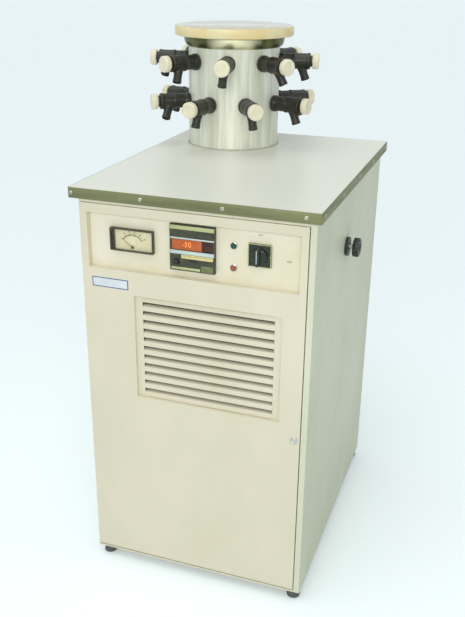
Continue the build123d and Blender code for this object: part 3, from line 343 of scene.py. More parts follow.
# Neoprene moulded in a steel tool: near black with an olive bloom, satin, faintly pitted.
NEOPRENE = Finish(
    "moulded_neoprene", "#1c1c14", "#302f23", gloss_spread=0.16, patch_mm=16.0, grain_mm=0.9,
    grain_depth_mm=0.03, round_mm=0.5, wear="#6a6a54",
)
# Cream urea moulding for the knobs: waxy, with a mild gloss.
CREAM_PLASTIC = WaxyFinish(
    "moulded_urea_cream", "#f7f2da", "#ebe4c8", roughness=0.34, grain_mm=1.0, grain_depth_mm=0.01,
    round_mm=0.5, wear="#c9bd94",
)
# Cast acrylic with its faces polished: clear with a straw tint that only a long path shows.
ACRYLIC = ClearFinish(
    "cast_acrylic_polished", "#fbf9e4", "#f5f3d8", roughness=0.1, gloss_spread=0.04, patch_mm=50.0,
    grain_mm=2.0, grain_depth_mm=0.003, round_mm=0.6, transmission=0.45, tint="#f6e4a0", density=8.0,
)
# The lid's turned rim: frosted by the tool, its amber colour partly the acrylic's straw tint and partly a
# painted glow of light through the disc's long path.
ACRYLIC_RIM = ClearFinish(
    "turned_acrylic_rim", "#fff3c6", "#fbe09a", roughness=0.34, patch_mm=45.0, stretch=(1.0, 1.0, 0.2),
    grain_mm=1.2, grain_depth_mm=0.02, round_mm=0.8, transmission=0.15,
)
# Black ABS with a fine spark-eroded grain.
BLACK_ABS = Finish(
    "moulded_black_abs", "#1d1e1a", "#2b2c26", roughness=0.38, patch_mm=12.0, grain_mm=0.7,
    grain_depth_mm=0.02, round_mm=0.4, wear="#55564a", wear_amount=0.4,
)
# Olive-grey case moulding of the indicator.
CASE_PLASTIC = Finish(
    "moulded_case_olive", "#4a4b36", "#35372a", roughness=0.45, patch_mm=12.0, grain_mm=0.7,
    grain_depth_mm=0.02, round_mm=0.5, wear="#8a8a6c",
)
# Printed card of the meter's dial: cream with a soft paper mottle.
DIAL_CARD = Finish(
    "printed_dial_card", "#f0e8c6", "#e8dfb6", roughness=0.7, patch_mm=9.0, grain_mm=0.6, grain_depth_mm=0.01,
    round_mm=0.1,
)
# Glossier black phenolic of the cam switch, with a green cast.
SWITCH_BLACK = Finish(
    "moulded_switch_phenolic", "#20261d", "#2e3529", roughness=0.3, patch_mm=12.0, grain_mm=0.9,
    grain_depth_mm=0.01, round_mm=0.5, wear="#5a6660",
)
# Screen ink, matt and very dark olive.
INK = Finish(
    "screen_ink_black", "#2a2a1e", "#3a3929", roughness=0.7, patch_mm=3.0, grain_mm=0.4, grain_depth_mm=0.004,
    round_mm=0.05,
)
# Silver-cream anodised strips of the indicator's front.
FASCIA = Finish(
    "anodised_fascia_cream", "#ecdfa4", "#d9cf8e", metallic=0.15, patch_mm=10.0, stretch=(0.2, 1.0, 2.0),
    round_mm=0.2,
)
# The pale green strip at the top, and the line round the cam switch.
FASCIA_GREEN = replace(FASCIA, name="anodised_fascia_green", colour="#c6cb98", shade="#b3bb84")
# The pale blue strips beside the display, and the line on the cam switch grip, which is partly a painted
# highlight.
FASCIA_BLUE = replace(FASCIA, name="anodised_fascia_blue", colour="#d3e0dc", shade="#c2d2cf")
# Olive-green strips and caps of the indicator's front.
FASCIA_OLIVE = Finish(
    "lacquered_fascia_olive", "#7c8758", "#687247", roughness=0.45, patch_mm=9.0, round_mm=0.2,
)
# Clear styrene window, with a breath of haze.
WINDOW = ClearFinish(
    "clear_styrene_window", "#fcfcf6", "#f6f6ee", roughness=0.03, gloss_spread=0.03, patch_mm=25.0,
    grain_mm=2.0, grain_depth_mm=0.001, round_mm=0.2, alpha=0.25, ior=1.45,
)
# Red display filter with the lit figures shining through it.
DISPLAY_LIT = LitFinish(
    "red_filter_lit", "#b8602f", "#a04f22", roughness=0.25, grain_mm=1.0, grain_depth_mm=0.005,
    glow="#d0642c", strength=0.2,
)
# The same filter with nothing lit behind it: deep brown.
DISPLAY_DARK = Finish(
    "red_filter_dark", "#4a2414", "#351a10", roughness=0.2, grain_mm=1.0, grain_depth_mm=0.005,
)
# The figures themselves.
DIGITS = LitFinish(
    "lit_display_figures", "#ff9a50", "#ff8c40", patch_mm=5.0, grain_mm=1.2, grain_depth_mm=0.03,
    round_mm=0.05, glow="#ffa058", strength=0.45,
)
# Black lacquer on the needle, thin and a little brown.
NEEDLE = Finish(
    "lacquered_needle", "#26241c", "#3a3628", patch_mm=6.0, grain_mm=0.5, grain_depth_mm=0.004, round_mm=0.1,
)
# Lamp lenses: cut plastic that shows dark when it is off.
LENS_GREEN = ClearFinish(
    "moulded_lens_green", "#2f6a62", "#24544e", roughness=0.18, patch_mm=4.0, grain_depth_mm=0.03,
    transmission=0.35,
)
LENS_RED = replace(LENS_GREEN, name="moulded_lens_red", colour="#c9763c", shade="#ad5c2c")
# Chrome plate: bright, with a few fine scratches.
CHROME = Finish(
    "chrome_plate", "#dcdcd8", "#c6c6c0", roughness=0.14, gloss_spread=0.08, metallic=1.0, patch_mm=8.0,
    grain_mm=1.0, grain_depth_mm=0.004,
)
# The badge's enamelled rim.
BADGE_RIM = Finish("vitreous_enamel_blue", "#2f5c9c", "#284f88", roughness=0.25, grain_mm=1.5)
# The bare badge: a bluish white enamelled plate.
BADGE = replace(
    BADGE_RIM, name="vitreous_enamel_white", colour="#e4ebee", shade="#d3dde6", round_mm=0.4, wear="#8aa0b8",
)
# Foot rubber, dusty where it meets the floor.
FOOT_RUBBER = Finish(
    "foot_rubber", "#26261d", "#3d3c30", roughness=0.62, patch_mm=9.0, grain_mm=0.9, grain_depth_mm=0.05,
    round_mm=0.6, wear="#6c6b58",
)
# Zinc plate with a yellow passivation that comes and goes in patches.
ZINC = Finish(
    "passivated_zinc", "#b9b396", "#9a9a8e", roughness=0.36, metallic=0.9, patch_mm=9.0, grain_depth_mm=0.012,
)
# Vacuum gasket: soft black nitrile with a faint shine.
GASKET = Finish(
    "nitrile_gasket", "#1f1f1a", "#2d2d26", roughness=0.5, patch_mm=10.0, grain_depth_mm=0.02, round_mm=0.6,
)
# Drawn copper tube, browned where the torch has been.
COPPER = Finish(
    "drawn_copper", "#b9714a", "#7f4c33", roughness=0.32, metallic=1.0, patch_mm=28.0, grain_mm=1.0,
    grain_depth_mm=0.012,
)
# Closed-cell foam rubber: matt black with small pits.
FOAM = Finish(
    "closed_cell_foam", "#2c2d2a", "#1f201e", roughness=0.92, patch_mm=22.0, grain_mm=2.4,
    grain_depth_mm=0.25, round_mm=1.2,
)
# Dipped black enamel of the compressor shell, thick and a little wavy.
SHELL_ENAMEL = Finish(
    "dipped_black_enamel", "#191a1b", "#262829", roughness=0.28, gloss_spread=0.12, patch_mm=34.0,
    grain_mm=7.0, grain_depth_mm=0.12, round_mm=1.0, wear="#5c5a52", wear_amount=0.4,
)
# Aluminium fin stock, dulled by dust.
FIN_STOCK = Finish(
    "aluminium_fin_stock", "#82836c", "#63644f", roughness=0.6, metallic=0.4, patch_mm=36.0, grain_mm=1.0,
    grain_depth_mm=0.02, round_mm=0.2,
)
# Grey paint of the fan and its motor.
FAN_PAINT = Finish(
    "fan_lacquer_grey", "#6d7068", "#53564f", roughness=0.45, metallic=0.2, patch_mm=18.0, grain_mm=1.4,
    grain_depth_mm=0.03, round_mm=0.5, wear="#a9aba0",
)


# ------------------------------------------------------------------ making meshes


@dataclass
class Axes:
    """A place to build at: an origin, the way out of the surface and the way up on it."""

    origin: Vector
    out: Vector
    up: Vector

    def matrix(self) -> Matrix:
        """Returns the matrix that takes local x, y, z to side, up and out."""
        out = self.out.normalized()
        side = self.up.cross(out).normalized()
        turned = Matrix((side, out.cross(side), out)).transposed()
        return Matrix.Translation(self.origin) @ turned.to_4x4()


class Facing(Enum):
    """The ways a surface can look, each with what is up on it."""

    FRONT = ((0, -1, 0), (0, 0, 1))
    BACK = ((0, 1, 0), (0, 0, 1))
    LEFT = ((-1, 0, 0), (0, 0, 1))
    RIGHT = ((1, 0, 0), (0, 0, 1))
    TOP = ((0, 0, 1), (0, 1, 0))

    def at(self, x: float, y: float, z: float) -> Axes:
        """Returns the axes of such a surface at a point."""
        out, up = self.value
        return Axes(Vector((x, y, z)), Vector(out), Vector(up))


@dataclass(frozen=True)
class Box:
    """The box of a CAD node, in metres."""

    low: Vector
    high: Vector

    @property
    def centre(self) -> Vector:
        """The box's middle."""
        return (self.low + self.high) / 2

    @property
    def size(self) -> Vector:
        """The box's sides in millimetres."""
        return (self.high - self.low) / MM


def round_edges(made: bmesh.types.BMesh, edges: list, radius: float, segments: int = 2) -> None:
    """Rounds edges of a mesh.

    Args:
        made: the mesh.
        edges: its edges to round.
        radius: how far the rounding reaches.
        segments: the facets of the rounding.
    """
    bmesh.ops.bevel(
        made, geom=edges, offset=radius, segments=segments, profile=0.5, affect="EDGES", material=-1
    )


def posts(made: bmesh.types.BMesh, least: float) -> list:
    """Returns the edges that climb more than a height."""
    return [e for e in made.edges if abs(e.verts[0].co.z - e.verts[1].co.z) > least]


def folds(made: bmesh.types.BMesh, least: float = 0.6) -> list:
    """Returns the edges where two faces turn by more than an angle in radians."""
    return [e for e in made.edges if len(e.link_faces) == 2 and e.calc_face_angle() > least]


class Shape:
    """A mesh in the making: each method adds one solid, in local millimetres."""

    def __init__(self) -> None:
        """Starts an empty mesh."""
        self.mesh = bmesh.new()

    def lathe(self, profile: Profile, steps: int = 48) -> None:
        """Spins a profile round local z.

        Args:
            profile: points of radius and height, from one pole or rim to the other.
            steps: facets round the axis.
        """
        made = bmesh.new()
        points = [made.verts.new((radius, 0.0, height)) for radius, height in profile]
        edges = [made.edges.new(pair) for pair in zip(points, points[1:])]
        bmesh.ops.spin(
            made, geom=points + edges, cent=(0, 0, 0), axis=(0, 0, 1), angle=math.tau, steps=steps,
            use_merge=True,
        )
        bmesh.ops.remove_doubles(made, verts=made.verts, dist=1e-4)
        bmesh.ops.recalc_face_normals(made, faces=made.faces)
        self.take(made)

    def winding(
        self, radius: float, tube: float, rise: float, turns: int, sides: int = 16, steps: int = 60
    ) -> None:
        """Winds a round tube into a coil that climbs round local z, starting on local x.

        Args:
            radius: from the axis to the middle of the tube.
            tube: the tube's own radius.
            rise: how far the whole coil climbs.
            turns: how often it goes round.
            sides: facets round the tube.
            steps: lengths in one turn.
        """
        made = bmesh.new()
        ring = bmesh.ops.create_circle(made, cap_ends=False, segments=sides, radius=tube)["verts"]
        upright = Matrix.Translation((radius, 0.0, 0.0)) @ Matrix.Rotation(math.pi / 2, 4, "X")
        bmesh.ops.transform(made, matrix=upright, verts=ring)
        bmesh.ops.spin(
            made, geom=ring + list(made.edges), cent=(0, 0, 0), axis=(0, 0, 1),
            dvec=(0, 0, rise / (turns * steps)), angle=math.tau * turns, steps=turns * steps,
        )
        bmesh.ops.holes_fill(made, edges=[edge for edge in made.edges if edge.is_boundary], sides=sides)
        bmesh.ops.recalc_face_normals(made, faces=made.faces)
        self.take(made)

    def block(
        self, size: Sequence[float], at: Sequence[float] = (0, 0, 0), edge: float = 0.3, corner: float = 0.0,
        paint: int = 0, taper: float = 0.0,
    ) -> None:
        """Adds a block with rounded edges.

        Args:
            size: its width, height and thickness along local x, y and z.
            at: the middle of its back face.
            edge: radius of all edges.
            corner: a larger radius of the four edges along local z.
            paint: the finish's number.
            taper: how much narrower the front face is on each side.
        """
        width, height, thickness = size
        made = bmesh.new()
        bmesh.ops.create_cube(made, size=1.0)
        bmesh.ops.scale(made, vec=Vector(size), verts=made.verts)
        bmesh.ops.translate(made, vec=(0, 0, thickness / 2), verts=made.verts)
        if taper:
            outer = [v for v in made.verts if v.co.z > thickness / 2]
            ratio = (1 - 2 * taper / width, 1 - 2 * taper / height, 1.0)
            bmesh.ops.scale(made, vec=Vector(ratio), verts=outer)
        if corner:
            round_edges(made, posts(made, thickness / 2), corner, 5)
        if edge:
            round_edges(made, folds(made), edge)
        self.take(made, at, paint)

    def frame(
        self, outer: Sequence[float], inner: Sequence[float], thickness: float, edge: float = 0.3,
        paint: int = 0,
    ) -> None:
        """Adds a rectangular frame with a rectangular opening, rounded along its edges.

        Args:
            outer: its width and height.
            inner: the opening's width and height.
            thickness: how far it stands out.
            edge: radius of its edges.
            paint: the finish's number.
        """
        made = bmesh.new()
        bmesh.ops.create_grid(made, x_segments=1, y_segments=1, size=0.5)
        bmesh.ops.scale(made, vec=(outer[0], outer[1], 1), verts=made.verts)
        rim = bmesh.ops.inset_region(
            made, faces=list(made.faces), thickness=(outer[1] - inner[1]) / 2, use_boundary=True,
            use_even_offset=True,
        )["faces"]
        hole = [f for f in made.faces if f not in rim]
        extra = (outer[0] - inner[0] - outer[1] + inner[1]) / 2
        for vert in hole[0].verts:
            vert.co.x -= math.copysign(extra, vert.co.x)
        bmesh.ops.delete(made, geom=hole, context="FACES")
        bmesh.ops.solidify(made, geom=list(made.faces), thickness=-thickness)
        bmesh.ops.recalc_face_normals(made, faces=made.faces)
        low = min(v.co.z for v in made.verts)
        bmesh.ops.translate(made, vec=(0, 0, -low), verts=made.verts)
        round_edges(made, folds(made), edge)
        self.take(made, paint=paint)

    def bar(self, outline: Profile, half: float) -> None:
        """Extrudes an outline along local x.

        Args:
            outline: points of y and z.
            half: how far it reaches to either side.
        """
        made = bmesh.new()
        face = made.faces.new([made.verts.new((-half, y, z)) for y, z in outline])
        moved = bmesh.ops.extrude_face_region(made, geom=[face])["geom"]
        verts = [g for g in moved if isinstance(g, bmesh.types.BMVert)]
        bmesh.ops.translate(made, verts=verts, vec=(2 * half, 0, 0))
        bmesh.ops.recalc_face_normals(made, faces=made.faces)
        self.take(made)

    def slot(self, width: float, depth: float, above: float, turn: float = 0.0) -> None:
        """Sinks a screwdriver slot into whatever lies above a height.

        Args:
            width: the slot's width.
            depth: how far its floor is sunk.
            above: only points above this height are sunk.
            turn: the slot's direction in degrees.
        """
        way = Vector((math.cos(math.radians(turn)), math.sin(math.radians(turn)), 0))
        wall = 0.05
        for offset in (-width / 2, wall - width / 2, width / 2 - wall, width / 2):
            geom = list(self.mesh.verts) + list(self.mesh.edges) + list(self.mesh.faces)
            bmesh.ops.bisect_plane(self.mesh, geom=geom, plane_co=way * offset, plane_no=way)
        reach = width / 2 - 0.6 * wall
        sunk = [v for v in self.mesh.verts if abs(v.co.dot(way)) < reach and v.co.z > above]
        bmesh.ops.translate(self.mesh, verts=sunk, vec=(0, 0, -depth))

    def flute(self, radius: float, count: int, ratio: float) -> None:
        """Sinks flutes round local z.

        Args:
            radius: points nearer to the axis stay.
            count: the number of flutes.
            ratio: what is left of a sunk point's distance from the axis.
        """
        for vert in self.mesh.verts:
            turn = math.atan2(vert.co.y, vert.co.x) / math.tau * count
            if math.hypot(vert.co.x, vert.co.y) > radius and abs(turn - round(turn)) > 0.25:
                vert.co.x *= ratio
                vert.co.y *= ratio

    def join(self, other: Shape, matrix: Matrix = Matrix.Identity(4), paint: int | None = None) -> None:
        """Adds a copy of another shape.

        Args:
            other: the shape, which stays.
            matrix: where the copy goes, in this shape's units.
            paint: a finish's number for all of it.
        """
        copy = other.mesh.copy()
        bmesh.ops.transform(copy, matrix=matrix, verts=copy.verts)
        self.take(copy, paint=paint)

    def words(self, text: str, height: float, at: Sequence[float], paint: int = 0, thick: float = 0.1) -> None:
        """Adds plain figures as flat raised print.

        Args:
            text: the figures.
            height: their size.
            at: their middle.
            paint: the finish's number.
            thick: how far they stand out.
        """
        curve = bpy.data.curves.new("figures", "FONT")
        curve.body, curve.size, curve.extrude = text, height, thick / 2
        curve.align_x, curve.align_y, curve.resolution_u = "CENTER", "CENTER", 3
        holder = bpy.data.objects.new("figures", curve)
        flat = bpy.data.meshes.new_from_object(holder)
        made = bmesh.new()
        made.from_mesh(flat)
        bpy.data.objects.remove(holder)
        bpy.data.curves.remove(curve)
        bpy.data.meshes.remove(flat)
        bmesh.ops.remove_doubles(made, verts=made.verts, dist=1e-5)
        self.take(made, at, paint)

    def take(self, made: bmesh.types.BMesh, at: Sequence[float] = (0, 0, 0), paint: int | None = 0) -> None:
        """Moves, paints and merges a fresh mesh into this one.

        Args:
            made: the mesh, which is freed.
            at: where its origin goes.
            paint: the finish's number for all of it.
        """
        bmesh.ops.translate(made, vec=Vector(at), verts=made.verts)
        if paint is not None:
            for face in made.faces:
                face.material_index = paint
        scratch = bpy.data.meshes.new("scratch")
        made.to_mesh(scratch)
        made.free()
        self.mesh.from_mesh(scratch)
        bpy.data.meshes.remove(scratch)

    def placed(self, axes: Axes) -> Shape:
        """Scales the shape from millimetres to metres and puts it on its axes."""
        bmesh.ops.scale(self.mesh, vec=(MM, MM, MM), verts=self.mesh.verts)
        bmesh.ops.transform(self.mesh, matrix=axes.matrix(), verts=self.mesh.verts)
        return self


@dataclass
class Machine:
    """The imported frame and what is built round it: it gives boxes and joints and takes pieces."""

    frame: dict
    joints: dict[str, dict] = field(default_factory=dict)
    mounts: dict[str, dict] = field(default_factory=dict)
    pieces: int = 0

    def __post_init__(self) -> None:
        """Sorts the joints and mounts by name."""
        record = self.frame["record"]
        self.joints = {j["name"]: j for j in record["behaviour"]["joints"]}
        self.mounts = {m["name"]: m for m in record["mounts"]}

    def box(self, node: str) -> Box:
        """Returns a node's box."""
        low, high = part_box(node)
        return Box(Vector(low), Vector(high))

    def piece(
        self, shape: Shape, name: str, body: str, slot: str, *finishes: Finish, node: str = "",
        sharp: float = 38.0,
    ) -> None:
        """Makes an object of a finished shape.

        Args:
            shape: the shape, already in metres and in its place.
            name: the piece's name.
            body: the body that it moves with.
            slot: the record's slot that its finish would come from; not used.
            finishes: the finish of each paint number.
            node: the node that it replaces.
            sharp: edges that turn more than this many degrees stay sharp.
        """
        mesh = bpy.data.meshes.new(name)
        shape.mesh.to_mesh(mesh)
        shape.mesh.free()
        for finish in finishes:
            mesh.materials.append(finish.material())
        mesh.polygons.foreach_set("use_smooth", [True] * len(mesh.polygons))
        mesh.set_sharp_from_angle(angle=math.radians(sharp))
        thing = bpy.data.objects.new(name, mesh)
        bpy.context.scene.collection.objects.link(thing)
        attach(thing, body)
        if node:
            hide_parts(node)
        self.pieces += 1
        LOG.info("%s: %d faces on %s", name, len(mesh.polygons), body)

    def dress(self, **coats: Finish) -> None:
        """Gives each named node its finish."""
        for name, finish in coats.items():
            thing = self.frame["nodes"][name]
            if not thing.material_slots:
                thing.data.materials.append(finish.material())
            for entry in thing.material_slots:
                entry.material = finish.material()
            LOG.info("%s dressed in %s", name, finish.name)


@dataclass
class Assembly:
    """A sub-assembly that is built round the machine's frame."""

    machine: Machine

    def build(self) -> None:
        """Builds the assembly's pieces."""


# ------------------------------------------------------------------ the cabinet


@dataclass
class Worktop(Assembly):
    """The laminated board with its metal edging and the small screws that hold it."""

    corner: float = 3.0
    band: float = 1.5
    lip: float = 0.5
    head: float = 4.2
    dome: float = 1.0
    columns: tuple[float, ...] = (-5.0, 147.0, 318.0, 482.0)
    side_pitch: float = 160.0
    next_turn: float = 37.0

    def build(self) -> None:
        """Builds the edging and its screws and dresses the board."""
        box = self.machine.box("edge_band")
        made = bmesh.new()
        bmesh.ops.create_cube(made, size=1.0)
        bmesh.ops.scale(made, vec=box.size, verts=made.verts)
        bmesh.ops.delete(made, geom=[f for f in made.faces if abs(f.normal.z) > 0.5], context="FACES_ONLY")
        round_edges(made, posts(made, 1.0), self.corner, 5)
        bmesh.ops.recalc_face_normals(made, faces=made.faces)
        bmesh.ops.solidify(made, geom=list(made.faces), thickness=self.band)
        bmesh.ops.recalc_face_normals(made, faces=made.faces)
        round_edges(made, folds(made, 1.0), self.lip)
        band = Shape()
        band.take(made, box.centre / MM)
        band.placed(Facing.TOP.at(0, 0, 0))
        self.machine.piece(band, "worktop_edging", "cabinet", "band_metal", EDGING, node="edge_band")
        self.screws(box)
        self.machine.dress(worktop=LAMINATE)

    def screws(self, box: Box) -> None:
        """Builds the slotted screws along the edging's four sides."""
        left = self.machine.box("side_panel_left").low.x
        count = int(box.size.y / 2 / self.side_pitch) * 2 + 1
        middle = box.centre
        spots: list[Axes] = []
        for column in self.columns:
            x = left + column * MM
            spots += [Facing.FRONT.at(x, box.low.y, middle.z), Facing.BACK.at(x, box.high.y, middle.z)]
        for number in range(count):
            y = middle.y + (number - (count - 1) / 2) * self.side_pitch * MM
            spots += [Facing.LEFT.at(box.low.x, y, middle.z), Facing.RIGHT.at(box.high.x, y, middle.z)]
        whole = Shape()
        for number, axes in enumerate(spots):
            screw = Shape()
            screw.lathe(
                [(0, self.dome), (1.8, self.dome * 0.95), (3.2, self.dome * 0.7), (self.head, 0.15),
                 (self.head, -0.2), (1.4, -0.4), (1.4, -8), (0, -9)],
                steps=20,
            )
            screw.slot(0.9, 0.55, 0.1, turn=self.next_turn * number)
            whole.join(screw.placed(axes))
        self.machine.piece(whole, "edging_screws", "cabinet", "screw_steel", SCREW, node="edge_screws")


@dataclass
class LevellingFeet(Assembly):
    """Four rubber pads, each on a threaded stud with a lock nut."""

    pad: float = 15.0
    pad_height: float = 17.0
    stud: float = 4.0
    nut: float = 7.5
    nut_height: float = 5.0
    thread: float = 1.4
    thread_depth: float = 0.6

    def build(self) -> None:
        """Builds the pads and the studs under the cabinet's corners."""
        box = self.machine.box("levelling_feet")
        top = self.machine.box("side_panel_left").low.z / MM + 1.0
        reach = self.pad * MM
        r, h, s, n = self.pad, self.pad_height, self.stud, self.nut
        nut_top = h + self.nut_height
        rod = [(0, h - 1.0), (s, h - 1.0)]
        level = nut_top + 0.4
        while level + self.thread < top:
            rod += [(s, level), (s - self.thread_depth, level + self.thread / 2)]
            level += self.thread
        pads, studs = Shape(), Shape()
        for x in (box.low.x + reach, box.high.x - reach):
            for y in (box.low.y + reach, box.high.y - reach):
                foot, post = Shape(), Shape()
                foot.lathe(
                    [(0, 0), (r - 2.5, 0), (r - 1.8, 0.2), (r - 0.4, 1.2), (r, 2.2), (r, 4.5), (r - 0.9, 6.0),
                     (r - 1.6, 8.5), (r - 2.0, h - 2.4), (r - 2.8, h - 0.8), (r - 4.2, h), (0, h)],
                    steps=40,
                )
                post.lathe([*rod, (s, top), (0, top)], steps=24)
                post.lathe(
                    [(s - 0.5, h), (n - 0.7, h), (n, h + 0.7), (n, nut_top - 0.7), (n - 0.7, nut_top),
                     (s - 0.5, nut_top)],
                    steps=6,
                )
                axes = Facing.TOP.at(x, y, 0)
                pads.join(foot.placed(axes))
                studs.join(post.placed(axes))
        self.machine.piece(pads, "foot_pads", "cabinet", "foot_rubber", FOOT_RUBBER, node="levelling_feet")
        self.machine.piece(studs, "foot_studs", "cabinet", "zinc_steel", ZINC, sharp=25.0)


@dataclass
class Grille(Assembly):
    """The sunk louvre panel of the door: a pressed frame with rolled slats."""

    slats: int = 12
    pitch: float = 20.2
    rise: float = 13.0
    lift: float = 13.6
    lip: float = 10.8
    depth: float = 10.0
    sheet: float = 1.5
    width: float = 288.0

    def build(self) -> None:
        """Builds the frame and its slats in place of the plain ones."""
        box = self.machine.box("louvre_grille")
        height = (self.slats - 1) * self.pitch + self.rise
        t, lip, lift = self.sheet, self.lip, self.lift
        low = t - self.depth
        shape = Shape()
        shape.frame((box.size.x, box.size.z), (self.width, height + 1.0), t, edge=0.35)
        for number in range(self.slats):
            y = number * self.pitch - height / 2
            shape.bar(
                [(y, t), (y + 0.6, t + 0.35), (y + 1.6, t + 0.4), (y + lip - 1.4, t - 0.2), (y + lip, t - 1.4),
                 (y + lift, low + 0.4), (y + lift, low - 0.6), (y + lift - 1.3, low - 0.4),
                 (y + lip - 1.2, t - 2.2), (y + lip - 2.2, t - 1.5), (y + 1.4, t - 0.9), (y + 0.3, t - 0.8)],
                self.width / 2 + 1.0,
            )
        shape.placed(Facing.FRONT.at(box.centre.x, box.low.y + t * MM, box.centre.z))
        self.machine.piece(
            shape, "grille_louvres", "door", "front_paint", ENAMEL, node="louvre_grille", sharp=50.0
        )


@dataclass
class DoorLock(Assembly):
    """A turned cylinder lock with a keyway and the cam behind the door."""

    head: float = 8.0
    height: float = 3.0
    barrel: float = 6.0
    cam: tuple[float, float, float] = (12.0, 24.0, 2.0)

    def build(self) -> None:
        """Builds the lock's face over its barrel and cam."""
        x, _, z = self.machine.joints["lock_turn"]["pos_m"]
        box = self.machine.box("door_lock")
        r, h = self.head, self.height
        shape = Shape()
        shape.lathe(
            [(0, h - 0.9), (4.4, h - 0.9), (4.8, h - 0.3), (5.4, h - 0.1), (r - 1.2, h), (r - 0.3, h - 0.6),
             (r, h - 1.4), (r, 0), (self.barrel, 0), (self.barrel, -20), (0, -20)],
            steps=40,
        )
        shape.slot(1.3, 1.4, 0.5)
        width, length, sheet = self.cam
        back = h - box.size.y
        shape.block(self.cam, (0, (width - length) / 2, back), corner=2.0)
        shape.block((width, width, sheet), (0, 0, back), corner=2.0)
        shape.placed(Facing.FRONT.at(x, box.low.y + h * MM, z))
        self.machine.piece(shape, "cylinder_lock", "lock", "lock_chrome", CHROME, node="door_lock")


@dataclass
class Badge(Assembly):
    """A bare plate with a raised rim, where a maker would put a name."""

    inset: float = 0.3
    rim: float = 1.8

    def build(self) -> None:
        """Builds the plate."""
        box = self.machine.box("badge_plate")
        width, thickness, height = box.size
        shape = Shape()
        shape.block((width, height, thickness * 0.75), edge=0.2, corner=2.5)
        outer, inner = 2 * self.inset, 2 * (self.inset + self.rim)
        shape.frame(
            (width - outer, height - outer), (width - inner, height - inner), thickness, edge=0.2, paint=1
        )
        shape.placed(Facing.FRONT.at(box.centre.x, box.high.y, box.centre.z))
        self.machine.piece(shape, "bare_badge", "door", "badge_plate", BADGE, BADGE_RIM, node="badge_plate")


@dataclass
class Cabinet(Assembly):
    """The folded steel cabinet, its door and what is fixed to them."""

    screw: float = 3.2
    screw_inset: float = 12.0
    screw_rows: int = 5

    def build(self) -> None:
        """Dresses the panels and builds the fixings."""
        self.machine.dress(
            side_panel_left=SHADE_TINTED_ENAMEL, side_panel_right=SHADE_TINTED_ENAMEL, back_panel=SHADE_TINTED_ENAMEL,
            base_plate=ENAMEL, front_rail=ENAMEL, front_door=ENAMEL, control_plate=LIT_PLATE_ENAMEL,
            door_hinge_pins=ZINC,
        )
        for kind in (Worktop, LevellingFeet, Grille, DoorLock, Badge):
            kind(self.machine).build()
        self.back_screws()

    def back_screws(self) -> None:
        """Builds the pan-head screws round the back panel."""
        box = self.machine.box("back_panel")
        inset, r = self.screw_inset * MM, self.screw
        whole = Shape()
        for row in range(self.screw_rows):
            z = box.low.z + inset + (box.high.z - box.low.z - 2 * inset) * row / (self.screw_rows - 1)
            for x in (box.low.x + inset, box.high.x - inset):
                screw = Shape()
                screw.lathe(
                    [(0, 1.3), (r * 0.6, 1.15), (r * 0.9, 0.7), (r, 0.1), (r, -0.1), (0, -0.1)], steps=20
                )
                screw.slot(0.8, 0.6, 0.3, turn=23.0 * row + 40.0 * (x > 0))
                whole.join(screw.placed(Facing.BACK.at(x, box.high.y, z)))
        self.machine.piece(whole, "back_panel_screws", "cabinet", "screw_steel", SCREW)


# ------------------------------------------------------------------ instruments


